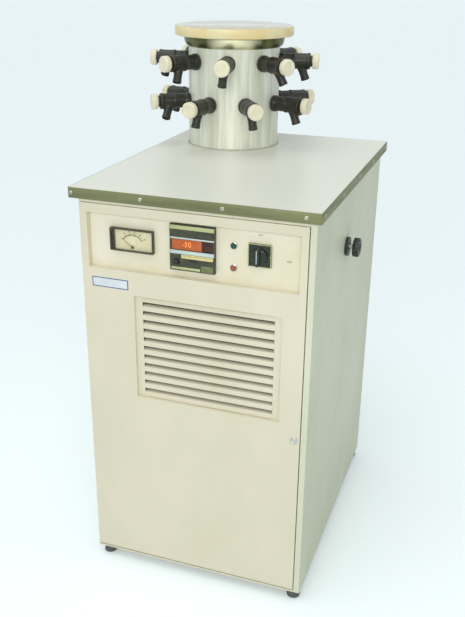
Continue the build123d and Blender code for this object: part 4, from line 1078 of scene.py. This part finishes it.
@dataclass
class VacuumMeter(Assembly):
    """An edgewise panel meter: dark case, clear front, sunk cream dial, arc, ticks and needle."""

    border: float = 2.4
    dial_depth: float = 7.0
    # Width of the dark ink strip along the dial's left edge, painted shade of the case's left inner wall.
    painted_shade_strip: float = 7.0
    works: tuple[float, float, float] = (88.0, 41.0, 52.0)
    glass: float = 1.5
    arc: float = 25.0
    swing: float = 55.0
    pivot_drop: float = 15.0
    ticks: int = 50
    figures: tuple[str, ...] = ("0", "20", "40", "60", "80", "100")

    def build(self) -> None:
        """Builds the case, the dial, the clear front and the needle."""
        box = self.machine.box("meter_case")
        plate = self.machine.box("control_plate").low.y
        x, z = box.centre.x, box.centre.z
        width, height = box.size.x - 2 * self.border, box.size.z - 2 * self.border
        proud = (plate - box.low.y) / MM
        case = Shape()
        case.frame((box.size.x, box.size.z), (width, height), proud, edge=0.5)
        case.block(self.works, (0, 0, -self.works[2]), edge=0.5)
        case.block((width + 1.0, height + 1.0, proud - self.dial_depth - 0.1), edge=0.0)
        case.placed(Facing.FRONT.at(x, plate, z))
        self.machine.piece(case, "meter_housing", "door", "black_plastic", CASE_PLASTIC, node="meter_case")
        dial = Shape()
        dial.block((width - 0.2, height - 0.2, 0.3), edge=0.05)
        # A dark ink strip along the dial's left edge: painted shade of the case's left inner wall.
        dial.block((self.painted_shade_strip, height - 0.2, 3.0), ((self.painted_shade_strip - width) / 2, 0, 0), paint=1)
        self.print_scale(dial)
        dial.placed(Facing.FRONT.at(x, box.low.y + self.dial_depth * MM, z))
        self.machine.piece(dial, "meter_dial", "door", "case_plastic", DIAL_CARD, INK)
        front = Shape()
        front.block((width - 0.1, height - 0.1, self.glass))
        front.placed(Facing.FRONT.at(x, box.low.y + (self.glass + 0.4) * MM, z))
        self.machine.piece(front, "meter_front", "door", "window", WINDOW, node="meter_window")
        self.needle()

    def print_scale(self, shape: Shape) -> None:
        """Prints the arc, the ticks and the figures on the dial."""
        pivot = Vector((0, -self.pivot_drop, 0.3))
        step = math.radians(2 * self.swing / self.ticks)
        for number in range(self.ticks + 1):
            angle = math.radians(self.swing) - step * number
            way, turn = Vector((-math.sin(angle), math.cos(angle), 0)), Matrix.Rotation(angle, 4, "Z")
            tens = number % 10 == 0
            length = 5.0 if tens else 3.6 if number % 5 == 0 else 2.6
            for size, radius in (
                ((0.8 if tens else 0.45, length, 0.08), self.arc + length / 2),
                ((self.arc * step * 1.05, 0.9, 0.06), self.arc),
            ):
                mark = Shape()
                mark.block(size, edge=0.0)
                shape.join(mark, Matrix.Translation(pivot + way * radius) @ turn, paint=1)
            if tens:
                spot = pivot + way * (self.arc + 8.0)
                shape.words(
                    self.figures[number // 10], 4.6, (spot.x, min(spot.y, 17.5), 0.34), paint=1, thick=0.05
                )

    def needle(self) -> None:
        """Builds the tapered needle with its hub."""
        x, _, z = self.machine.joints["needle_turn"]["pos_m"]
        box = self.machine.box("meter_needle")
        shape, pointer = Shape(), Shape()
        pointer.block((1.1, 29.0, 0.4), (0, 10.5, 0), edge=0.08)
        for vert in pointer.mesh.verts:
            vert.co.x *= 1.0 - 0.6 * max(0.0, vert.co.y) / 27.0
        shape.join(pointer, Matrix.Rotation(math.radians(self.swing), 4, "Z"))
        shape.lathe(
            [(0, 1.1), (1.6, 1.0), (2.6, 0.6), (3.0, 0.0), (3.0, -0.2), (1.0, -0.2), (1.0, -3.5), (0, -3.5)],
            steps=28,
        )
        shape.placed(Facing.FRONT.at(x, box.low.y + 0.6 * MM, z))
        self.machine.piece(shape, "meter_pointer", "needle", "needle_paint", NEEDLE, node="meter_needle")


@dataclass
class TemperatureIndicator(Assembly):
    """A square panel instrument with coloured strips, a lit display and a small knob."""

    size: float = 96.0
    strip: float = 94.0
    marks: int = 24
    mark_pitch: float = 2.5
    lit: float = 0.73
    figures: str = "-50"

    def build(self) -> None:
        """Builds the strips, the display and the knob."""
        box, show = self.machine.box("indicator_case"), self.machine.box("indicator_display")
        middle = box.centre
        half = self.size / 2
        top, base = (show.high.z - middle.z) / MM, (show.low.z - middle.z) / MM
        strips = Shape()
        for size, at, paint in (
            ((self.strip, 8.0, 0.8), (0, half - 5.5, 0), 0), ((self.strip, 3.0, 0.8), (0, top + 2.4, 0), 1),
            ((self.strip, 7.5, 0.8), (0, base - 5.0, 0), 1), ((68, 8.0, 0.9), (11, base - 13.5, 0), 2),
        ):
            strips.block(size, at, edge=0.15, paint=paint)
        for number in range(self.marks):
            size = (0.5, 2.8 if number % 5 else 4.6, 0.06)
            strips.block(size, (self.mark_pitch * number - 18, base - 12.0, 0.9), edge=0.0, paint=3)
        strips.block((62, 5.0, 0.8), (-14, -half + 5.0, 0), edge=0.15)
        strips.block((26, 13.0, 0.9), (32, -half + 8.5, 0), edge=0.15, paint=4)
        strips.block((16, 6.0, 1.4), (2, base - 21.5, 0), paint=3)
        strips.placed(Facing.FRONT.at(middle.x, box.low.y, middle.z))
        self.machine.piece(
            strips, "indicator_strips", "door", "case_plastic", FASCIA_GREEN, FASCIA_BLUE, FASCIA, INK,
            FASCIA_OLIVE,
        )
        self.display(show)
        self.knob(box.low.y)
        self.machine.dress(indicator_case=CASE_PLASTIC)

    def display(self, box: Box) -> None:
        """Builds the lit filter, its figures and the dark end."""
        width, thickness, height = box.size
        lit = width * self.lit
        left = (lit - width) / 2
        shape = Shape()
        shape.block((lit, height, thickness), (left, 0, 0))
        shape.block((width - lit, height, thickness), (lit / 2, 0, 0), paint=1)
        shape.words(self.figures, 15.0, (left, 0, thickness), paint=2)
        shape.placed(Facing.FRONT.at(box.centre.x, box.high.y, box.centre.z))
        self.machine.piece(
            shape, "display_filter", "door", "display_red", DISPLAY_LIT, DISPLAY_DARK, DIGITS,
            node="indicator_display",
        )

    def knob(self, face: float) -> None:
        """Builds the slotted setting knob on the face."""
        x, _, z = self.machine.joints["setting_knob_turn"]["pos_m"]
        h = (face - self.machine.box("indicator_knob").low.y) / MM
        shape = Shape()
        shape.lathe(
            [(0, h), (3.2, h), (4.6, h - 0.6), (5.8, h - 2.0), (6.6, 1.2), (7.0, 0.3), (3.0, 0.3), (3.0, -8.0),
             (0, -8.0)],
            steps=40,
        )
        shape.slot(1.0, 0.7, h - 1.0, turn=90)
        shape.placed(Facing.FRONT.at(x, face, z))
        self.machine.piece(
            shape, "setting_dial", "setting_knob", "black_plastic", BLACK_ABS, node="indicator_knob"
        )


class LampColour(Enum):
    """The two pilot lamps, each with its node, slot and lens."""

    GREEN = ("pilot_lamp_green", "lamp_green", LENS_GREEN)
    RED = ("pilot_lamp_red", "lamp_red", LENS_RED)


@dataclass
class PilotLamp(Assembly):
    """A ribbed lens in a chromed ring."""

    colour: LampColour
    lens: float = 5.9

    def build(self) -> None:
        """Builds the lens and its ring."""
        node, slot, finish = self.colour.value
        box = self.machine.box(node)
        plate = self.machine.box("control_plate").low.y
        axes = Facing.FRONT.at(box.centre.x, plate, box.centre.z)
        r, h = self.lens, (plate - box.low.y) / MM
        lens, ring = Shape(), Shape()
        lens.lathe(
            [(0, h), (r * 0.25, h - 0.05), (r * 0.5, h - 0.5), (r * 0.55, h - 0.9), (r * 0.75, h - 1.1),
             (r * 0.8, h - 1.7), (r * 0.95, h - 2.4), (r, h - 3.4), (r, 0.2), (0, 0.2)],
            steps=32,
        )
        lens.lathe([(4.9, 0), (4.9, -26), (0, -26), (0, 0)], steps=24)
        self.machine.piece(lens.placed(axes), f"{node}_lens", "door", slot, finish, node=node)
        ring.lathe(
            [(r + 0.1, 0.1), (r + 0.1, 2.0), (r + 0.5, 2.4), (r + 1.4, 2.0), (r + 1.8, 1.2), (r + 1.8, 0.1),
             (r + 0.1, 0.1)],
            steps=36,
        )
        self.machine.piece(ring.placed(axes), f"{node}_ring", "door", "lock_chrome", CHROME)


@dataclass
class CamSwitch(Assembly):
    """A rotary cam switch: square plate with marks, round base and a bar grip."""

    plate: float = 48.0
    thickness: float = 4.0
    housing: tuple[float, float, float] = (42.0, 42.0, 46.0)
    line: tuple[float, float] = (47.6, 44.2)
    mark: float = 21.0
    grip: tuple[float, float] = (10.0, 38.0)
    base: float = 17.0

    def build(self) -> None:
        """Builds the plate, the knob and the words beside them."""
        box = self.machine.box("switch_plate")
        axes = Facing.FRONT.at(box.centre.x, self.machine.box("control_plate").low.y, box.centre.z)
        outer, inner = self.line
        t, m = self.thickness, self.mark
        plate = Shape()
        plate.block((self.plate, self.plate, t - 0.2), edge=0.7, corner=3.0)
        plate.block(self.housing, (0, 0, -self.housing[2]), edge=0.5)
        plate.frame((outer, outer), (inner, inner), t - 0.05, edge=0.25, paint=1)
        for x, y in ((0, m), (m, 0)):
            plate.block((0.9, 2.6, 0.06), (x, y, t - 0.2), edge=0.0, paint=1)
        self.machine.piece(
            plate.placed(axes), "cam_switch_plate", "door", "black_plastic", SWITCH_BLACK, FASCIA_GREEN,
            node="switch_plate",
        )
        self.knob(box)
        marks = Shape()
        marks.words("OFF", 5.0, (0, self.plate / 2 + 17.0, 0.1))
        marks.words("ON", 6.0, (self.plate / 2 + 35.0, -6.0, 0.1))
        self.machine.piece(marks.placed(axes), "switch_marks", "door", "case_plastic", INK)

    def knob(self, box: Box) -> None:
        """Builds the round base, the bar grip and its pointer line on the plate's face; the line is partly a
        painted highlight.
        """
        lift = (box.low.y - self.machine.box("switch_knob").low.y) / MM
        r = self.base
        width, length = self.grip
        shape = Shape()
        shape.lathe(
            [(0, 8.0), (9.0, 8.0), (r - 3.0, 7.6), (r - 1.2, 6.6), (r - 0.5, 5.0), (r, 1.0), (r - 0.4, 0.3),
             (4.0, 0.3), (4.0, -18), (0, -18)]
        )
        shape.block(
            (width, length, lift - 0.3), (0, 0, 0.3), edge=0.6, corner=width / 2 - 2.2, taper=1.4
        )
        # The pointer line, widened and set left of the grip's middle: partly a real pointer line, partly a
        # painted highlight on the grip's left side.
        shape.block((1.5, 27.0, 0.12), (-1.6, 1.5, lift - 0.05), edge=0.0, paint=1)
        shape.placed(Facing.FRONT.at(box.centre.x, box.low.y, box.centre.z))
        self.machine.piece(
            shape, "cam_switch_grip", "cam_switch", "black_plastic", SWITCH_BLACK, FASCIA_BLUE,
            node="switch_knob",
        )


# ------------------------------------------------------------------ manifold


@dataclass
class VentValve(Assembly):
    """The release valve on the right side: ringed flange, bright stem and knurled knob."""

    flange: float = 21.0
    knob: float = 21.0
    height: float = 14.0
    flutes: int = 24

    def build(self) -> None:
        """Builds the flange, its bright washer, the stem and the knob."""
        _, y, z = self.machine.joints["vent_knob_turn"]["pos_m"]
        side = self.machine.box("side_panel_right").high.x
        axes = Facing.RIGHT.at(side, y, z)
        r, k = self.flange, self.knob
        t = (self.machine.box("vent_valve_body").high.x - side) / MM
        top = (self.machine.box("vent_valve_knob").high.x - side) / MM
        base = top - self.height
        body, washer, stem, knob = Shape(), Shape(), Shape(), Shape()
        body.lathe(
            [(6.2, t - 1.5), (r - 3.4, t - 1.5), (r - 2.6, t - 0.4), (r - 1.6, t), (r - 0.6, t - 0.6),
             (r, t - 2.0), (r, 0.0), (9.0, 0.0), (9.0, -30.0), (6.2, -30.0), (6.2, t - 1.5)],
            steps=56,
        )
        washer.lathe(
            [(6.3, t - 1.4), (6.3, t - 0.5), (6.8, t), (9.6, t), (10.2, t - 0.8), (r - 4.6, t - 0.9),
             (r - 4.0, t - 1.4), (6.3, t - 1.4)]
        )
        stem.lathe(
            [(0, t - 17.0), (6.0, t - 17.0), (6.0, t + 2.0), (5.2, t + 2.6), (5.2, t + 7.0), (6.0, t + 8.0),
             (6.0, base + 1.0), (0, base + 1.0)],
            steps=32,
        )
        knob.lathe(
            [(0, top - 2.0), (8.0, top - 2.0), (9.0, top - 0.4), (12.0, top), (k - 3.0, top),
             (k - 1.0, top - 0.8), (k, top - 2.6), (k, base + 2.0), (k - 0.8, base + 0.6), (k - 2.5, base),
             (7.0, base), (6.0, base + 1.0), (0, base + 1.0)],
            steps=2 * self.flutes,
        )
        knob.flute(k - 1.5, self.flutes, 0.955)
        self.machine.piece(washer.placed(axes), "vent_valve_washer", "cabinet", "screw_steel", MILL_STEEL)
        self.machine.piece(body.placed(axes), "vent_valve_flange", "cabinet", "black_plastic", BLACK_ABS)
        self.machine.piece(stem.placed(axes), "vent_valve_stem", "vent_knob", "screw_steel", SCREW)
        self.machine.piece(
            knob.placed(axes), "vent_valve_handwheel", "vent_knob", "black_plastic", BLACK_ABS,
            node="vent_valve_knob", sharp=30.0,
        )
        self.machine.dress(vent_valve_body=BLACK_ABS, vent_tube=COPPER)


@dataclass
class Lid(Assembly):
    """A thick round lid of cast acrylic on its gasket, with polished faces and a turned rim."""

    radius: float = 142.0
    thickness: float = 22.0
    round: float = 2.2

    def build(self) -> None:
        """Builds the lid in two finishes."""
        box = self.machine.box("drum_lid")
        r, t, e = self.radius, self.thickness, self.round
        shape = Shape()
        shape.lathe(
            [(0, 0), (r - e, 0), (r - e * 0.3, e * 0.3), (r, e), (r, t - e), (r - e * 0.3, t - e * 0.3),
             (r - e, t), (0, t)],
            steps=144,
        )
        for face in shape.mesh.faces:
            face.material_index = int(math.hypot(*face.calc_center_median().xy) > r - e)
        shape.placed(Facing.TOP.at(box.centre.x, box.centre.y, box.low.z))
        self.machine.piece(
            shape, "acrylic_lid", "lid", "lid_acrylic", ACRYLIC, ACRYLIC_RIM, node="drum_lid", sharp=30.0
        )


@dataclass
class FlaskValves(Assembly):
    """Sixteen rubber quick-seal valves, each with a sloping outlet and a cream knob."""

    start: float = 110.3
    foot: float = 19.0
    waist: float = 17.0
    foot_length: float = 10.0
    length: float = 74.0
    head: float = 40.0
    outlet_back: float = 26.0
    outlet_tilt: float = 20.0
    outlet_length: float = 47.0
    outlet: float = 10.5
    bore: float = 6.4
    bore_depth: float = 24.0
    knob: float = 18.5
    knob_gap: float = 0.3
    neck: float = 13.0
    neck_length: float = 5.0
    knob_thickness: float = 15.0
    voxel: float = 1.5
    kept_faces: float = 0.45
    flutes: int = 20

    @property
    def end(self) -> float:
        """Distance from the drum's axis to the valve's outer end."""
        return self.start + self.length

    def build(self) -> None:
        """Builds one body and one knob and sets them at each port."""
        body, knob = self.body(), self.knob_shape()
        rows = {"upper": Shape(), "lower": Shape()}
        for name, mount in self.machine.mounts.items():
            if not name.startswith("flask_port_"):
                continue
            spot = name.removeprefix("flask_port_")
            axes = self.axes(self.machine.joints[f"valve_knob_{spot}_turn"], mount)
            single, turned = Shape(), Shape()
            single.join(body)
            rows[spot.split("_")[0]].join(single.placed(axes))
            turned.join(knob)
            self.machine.piece(
                turned.placed(axes), f"quick_seal_knob_{spot}", f"valve_knob_{spot}", "knob_cream",
                CREAM_PLASTIC, BLACK_ABS, node=f"valve_knob_{spot}", sharp=32.0,
            )
        for row, node in (("upper", "valve_bodies"), ("lower", "")):
            self.machine.piece(
                rows[row], f"quick_seal_bodies_{row}", "cabinet", "valve_rubber", NEOPRENE, node=node,
                sharp=60.0,
            )
        self.machine.dress(valve_stubs=MILL_STEEL)

    def axes(self, joint: dict, mount: dict) -> Axes:
        """Returns a valve's axes.

        Args:
            joint: its knob's joint, whose axis is the valve's.
            mount: its flask port.

        Returns:
            Axes on the drum's axis, out along the valve and up away from its outlet.
        """
        middle = self.machine.box("manifold_drum").centre
        out = Vector(joint["axis"]).normalized()
        port = Vector(mount["axis"]).normalized()
        side = port - out * port.dot(out)
        return Axes(Vector((middle.x, middle.y, joint["pos_m"][2])), out, -side.normalized())

    def body(self) -> Shape:
        """Moulds the body and its outlet in one, with fillets where they meet."""
        s, f, w, end = self.start, self.foot, self.waist, self.end
        neck, head = s + self.foot_length, end - self.head
        shape, outlet = Shape(), Shape()
        shape.lathe(
            [(0, s), (f - 0.6, s), (f, s + 0.8), (f, neck - 1.2), (f - 0.8, neck), (w, neck + 2.5),
             (w, head - 3.5), (f - 0.6, head - 0.8), (f, head + 0.8), (f, head + 4.5), (f - 1.0, head + 5.4),
             (f - 1.0, end - 8.0), (f, end - 7.2), (f, end - 1.0), (f - 0.9, end), (0, end)],
            steps=56,
        )
        r, b, tip = self.outlet, self.bore, self.outlet_length
        floor = tip - self.bore_depth
        outlet.lathe(
            [(0, 0), (r + 0.6, 0), (r + 0.4, 19.0), (r - 0.5, 24.0), (r - 0.7, tip - 8.0), (r, tip - 6.6),
             (r, tip - 0.9), (r - 0.8, tip), (b + 0.8, tip), (b, tip - 0.8), (b, floor + 0.5), (4.0, floor),
             (4.0, floor - 12.0), (0, floor - 12.0)],
            steps=40,
        )
        tilt = math.radians(self.outlet_tilt)
        way = Vector((0, -math.cos(tilt), math.sin(tilt)))
        turn = Vector((0, 0, 1)).rotation_difference(way).to_matrix().to_4x4()
        shape.join(outlet, Matrix.Translation((0, 0, end - self.outlet_back)) @ turn)
        return self.moulded(shape)

    def moulded(self, shape: Shape) -> Shape:
        """Fuses the parts of a shape into one skin with soft fillets.

        Args:
            shape: closed parts that run into each other.

        Returns:
            One closed shape.
        """
        mesh = bpy.data.meshes.new("mould")
        shape.mesh.to_mesh(mesh)
        thing = bpy.data.objects.new("mould", mesh)
        bpy.context.scene.collection.objects.link(thing)
        remesh = thing.modifiers.new("fuse", "REMESH")
        remesh.mode, remesh.voxel_size, remesh.adaptivity = "VOXEL", self.voxel, 0.0
        relax = thing.modifiers.new("relax", "SMOOTH")
        relax.factor, relax.iterations = 0.5, 4
        thing.modifiers.new("thin", "DECIMATE").ratio = self.kept_faces
        graph = bpy.context.evaluated_depsgraph_get()
        skin = bpy.data.meshes.new_from_object(thing.evaluated_get(graph))
        made = Shape()
        made.mesh.from_mesh(skin)
        bpy.data.objects.remove(thing)
        bpy.data.meshes.remove(mesh)
        bpy.data.meshes.remove(skin)
        return made

    def knob_shape(self) -> Shape:
        """Turns the knob: a fluted disc with a sunk face, a pointer and a black hub."""
        base = self.end + self.knob_gap
        disc = base + self.neck_length
        top = disc + self.knob_thickness
        pin = self.end - 33.0
        r, n = self.knob, self.neck
        shape = Shape()
        shape.lathe(
            [(0, top - 1.1), (9.5, top - 1.1), (10.6, top - 0.3), (12.0, top), (r - 2.4, top),
             (r - 0.9, top - 0.6), (r, top - 2.0), (r, disc + 2.0), (r - 0.8, disc + 0.7), (r - 2.2, disc),
             (n, disc), (n, base), (11.0, base), (11.0, pin), (0, pin)],
            steps=3 * self.flutes,
        )
        shape.flute(r - 1.4, self.flutes, 0.965)
        shape.block((2.6, 8.5, 0.9), (0, 5.2, top - 1.3))
        for face in shape.mesh.faces:
            face.material_index = int(face.calc_center_median().z < disc - 0.1)
        return shape


@dataclass
class Manifold(Assembly):
    """The steel drum, its flange and gasket, the lid and the valves."""

    radius: float = 110.0
    flange: float = 120.0
    straight: float = 9.0
    taper: float = 13.0

    def build(self) -> None:
        """Builds the flange and the seal, then the lid and the valves."""
        box = self.machine.box("manifold_drum")
        x, y = box.centre.xy
        r, f, s = self.radius, self.flange, self.straight
        foot = -s - self.taper
        arc = [math.radians(a) for a in range(0, 91, 9)]
        swell = [(r + 0.8 + (f - r - 0.3) * math.sin(a), -3.0 + (foot + 3.0) * math.cos(a)) for a in arc]
        ring, seal = Shape(), Shape()
        ring.lathe(
            [(r + 0.2, foot - 1.0), *swell, (f + 0.5, -1.0), (f + 0.2, -0.3), (f - 0.4, 0.05),
             (f - 6.0, 0.05), (f - 6.0, -s), (r + 0.2, foot + 1.0), (r + 0.2, foot - 1.0)],
            steps=128,
        )
        ring.placed(Facing.TOP.at(x, y, box.high.z))
        # The flange's finish, with its painted highlight centred on the drum's axis.
        painted_highlight = replace(CAST_FLANGE, middle=(x, y))
        self.machine.piece(ring, "mouth_flange", "cabinet", "drum_steel", painted_highlight, sharp=25.0)
        seal.lathe(
            [(r - 1.0, 0.0), (r + 3.6, 0.0), (r + 3.0, 0.9), (r + 1.6, 1.9), (r + 0.5, 3.0), (r - 1.0, 3.2),
             (r - 1.0, 0.0)],
            steps=128,
        )
        seal.placed(Facing.TOP.at(x, y, self.machine.box("worktop").high.z))
        self.machine.piece(seal, "drum_seal", "cabinet", "gasket_rubber", SEALANT, sharp=60.0)
        self.machine.dress(manifold_drum=STAINLESS, lid_gasket=GASKET)
        Lid(self.machine).build()
        FlaskValves(self.machine).build()


# ------------------------------------------------------------------ inside and behind


@dataclass
class Machinery(Assembly):
    """The refrigeration plant, the ice vessel and the fittings at the back."""

    coil_tube: float = 4.0
    coil_turns: int = 8
    shell: float = 78.0
    seam_height: float = 8.0

    def build(self) -> None:
        """Dresses the plant and adds the evaporator's winding and the compressor's seam."""
        self.machine.dress(
            condenser_vessel=MILL_STEEL, vessel_insulation=FOAM, vacuum_pipe=MILL_STEEL,
            compressor=SHELL_ENAMEL, refrigerant_lines=COPPER, air_condenser=FIN_STOCK, fan_shroud=ZINC,
            fan_motor=FAN_PAINT, fan_blade=FAN_PAINT, cord_gland=BLACK_ABS,
        )
        self.coil()
        self.seam()

    def coil(self) -> None:
        """Winds the evaporator's tube round the vessel."""
        box = self.machine.box("evaporator_coil")
        tube = self.coil_tube
        shape = Shape()
        shape.winding(box.size.x / 2 - tube, tube, box.size.z - 2 * tube, self.coil_turns)
        shape.placed(Facing.TOP.at(box.centre.x, box.centre.y, box.low.z + tube * MM))
        self.machine.piece(
            shape, "evaporator_winding", "cabinet", "copper", COPPER, node="evaporator_coil", sharp=50.0
        )

    def seam(self) -> None:
        """Builds the weld seam round the compressor's shell."""
        x, y, z = self.machine.box("compressor").centre
        r = self.shell
        shape = Shape()
        shape.lathe(
            [(r - 1.5, -2.4), (r + 1.2, -2.0), (r + 2.2, -0.8), (r + 2.2, 0.8), (r + 1.2, 2.0), (r - 1.5, 2.4),
             (r - 1.5, -2.4)],
            steps=96,
        )
        shape.placed(Facing.TOP.at(x, y, z + self.seam_height * MM))
        self.machine.piece(shape, "compressor_seam", "cabinet", "shell_paint", SHELL_ENAMEL, sharp=60.0)


# ------------------------------------------------------------------ studio and camera


@dataclass
class Studio(Assembly):
    """A pale floor under plain soft light, with the camera at the usual three-quarter view."""

    paper: str = "#eef7fa"
    air: str = "#f6f8fa"
    ambient: float = 0.42
    key: float = 34.0
    key_place: tuple[float, float, float] = (0.6, -3.0, 2.0)
    key_aim: tuple[float, float, float] = (0.0, -0.3, 0.7)
    ceiling: float = 1.15
    ceiling_place: tuple[float, float, float] = (-0.4, -0.8, 4.0)
    backdrop: float = 1.0
    floor_size: float = 80.0
    floor_lift: float = 0.2
    lens_mm: float = 48.62
    azimuth: float = 19.11
    elevation: float = 22.94
    roll: float = 0.667
    eye: tuple[float, float, float] = (836.6, -1449.8, 429.0)

    def build(self) -> None:
        """Makes the floor, the lights and the camera."""
        self.floor()
        self.sky()
        self.lamps()
        self.camera()

    def floor(self) -> None:
        """Makes the wide pale floor."""
        made = bmesh.new()
        bmesh.ops.create_grid(made, x_segments=1, y_segments=1, size=self.floor_size)
        mesh = bpy.data.meshes.new("studio_floor")
        made.to_mesh(mesh)
        made.free()
        floor = bpy.data.objects.new("studio_floor", mesh)
        bpy.context.scene.collection.objects.link(floor)
        paint = bpy.data.materials.new("studio_paper")
        paint.use_nodes = True
        tree = paint.node_tree
        seen = add_node(tree, "LightPath", out="Is Camera Ray")
        lift = add_node(tree, "Math", {0: seen, 1: self.floor_lift}, operation="MULTIPLY")
        wire(
            tree.nodes["Principled BSDF"],
            {
                "Base Color": linear(self.paper), "Roughness": 0.9, "Specular IOR Level": 0.1,
                "Emission Strength": lift, "Emission Color": linear(self.paper),
            },
        )
        mesh.materials.append(paint)

    def sky(self) -> None:
        """Makes the world: soft ambient light, and a pale backdrop for camera, metal and glass."""
        world = bpy.data.worlds.new("studio_air")
        bpy.context.scene.world = world
        world.use_nodes = True
        tree = world.node_tree
        light = tree.nodes["Background"]
        wire(light, {"Color": linear(self.air), "Strength": self.ambient})
        seen = add_node(tree, "LightPath", out="Is Camera Ray")
        path = seen.node.outputs
        for ray in ("Is Glossy Ray", "Is Transmission Ray"):
            seen = add_node(tree, "Math", {0: seen, 1: path[ray]}, operation="MAXIMUM")
        drop = add_node(tree, "Background", {"Color": linear(self.paper), "Strength": self.backdrop})
        both = add_node(tree, "MixShader", {0: seen, 1: light.outputs[0], 2: drop})
        wire(tree.nodes["World Output"], {"Surface": both})

    def lamps(self) -> None:
        """Hangs a low warm key light in front and a very soft one under the ceiling."""
        lamp = bpy.data.lights.new("key_light", "AREA")
        lamp.shape, lamp.size, lamp.size_y = "RECTANGLE", 2.4, 0.8
        lamp.energy, lamp.color = self.key, (1.0, 0.975, 0.92)
        ceiling = bpy.data.lights.new("ceiling_light", "SUN")
        ceiling.energy, ceiling.angle, ceiling.color = self.ceiling, math.radians(60), (0.97, 1.0, 0.97)
        for light, place, aim in (
            (lamp, self.key_place, self.key_aim), (ceiling, self.ceiling_place, (0.0, 0.0, 0.0)),
        ):
            holder = bpy.data.objects.new(light.name, light)
            bpy.context.scene.collection.objects.link(holder)
            holder.location = place
            holder.rotation_euler = (Vector(place) - Vector(aim)).to_track_quat("Z", "Y").to_euler()

    def camera(self) -> None:
        """Sets the camera from its place over the cabinet's front left corner."""
        left = self.machine.box("side_panel_left").low.x
        front = self.machine.box("front_door").low.y
        deck = self.machine.box("worktop").high.z
        azimuth, elevation, roll = (math.radians(a) for a in (self.azimuth, self.elevation, self.roll))
        flat = math.cos(elevation)
        back = Vector((math.sin(azimuth) * flat, -math.cos(azimuth) * flat, math.sin(elevation)))
        right = Vector((0, 0, 1)).cross(back).normalized()
        up = back.cross(right)
        side = right * math.cos(roll) + up * math.sin(roll)
        top = up * math.cos(roll) - right * math.sin(roll)
        data = bpy.data.cameras.new("camera")
        data.lens, data.sensor_width, data.sensor_fit, data.clip_end = self.lens_mm, 36.0, "AUTO", 300.0
        camera = bpy.data.objects.new("camera", data)
        bpy.context.scene.collection.objects.link(camera)
        eye = Vector((left, front, deck)) + Vector(self.eye) * MM
        camera.matrix_world = Matrix.Translation(eye) @ Matrix((side, top, back)).transposed().to_4x4()
        bpy.context.scene.camera = camera


def main() -> None:
    """Builds the studio and every assembly in order."""
    logging.basicConfig(level=logging.INFO, format="%(message)s")
    machine = Machine(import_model())
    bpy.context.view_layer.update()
    bpy.context.scene.view_settings.view_transform = "Standard"
    assemblies: list[Assembly] = [
        Studio(machine), Cabinet(machine), VacuumMeter(machine), TemperatureIndicator(machine),
        PilotLamp(machine, LampColour.GREEN), PilotLamp(machine, LampColour.RED), CamSwitch(machine),
        VentValve(machine), Manifold(machine), Machinery(machine),
    ]
    for assembly in assemblies:
        assembly.build()
    bpy.context.view_layer.update()
    LOG.info("%d pieces", machine.pieces)


if __name__ == "__main__":
    main()
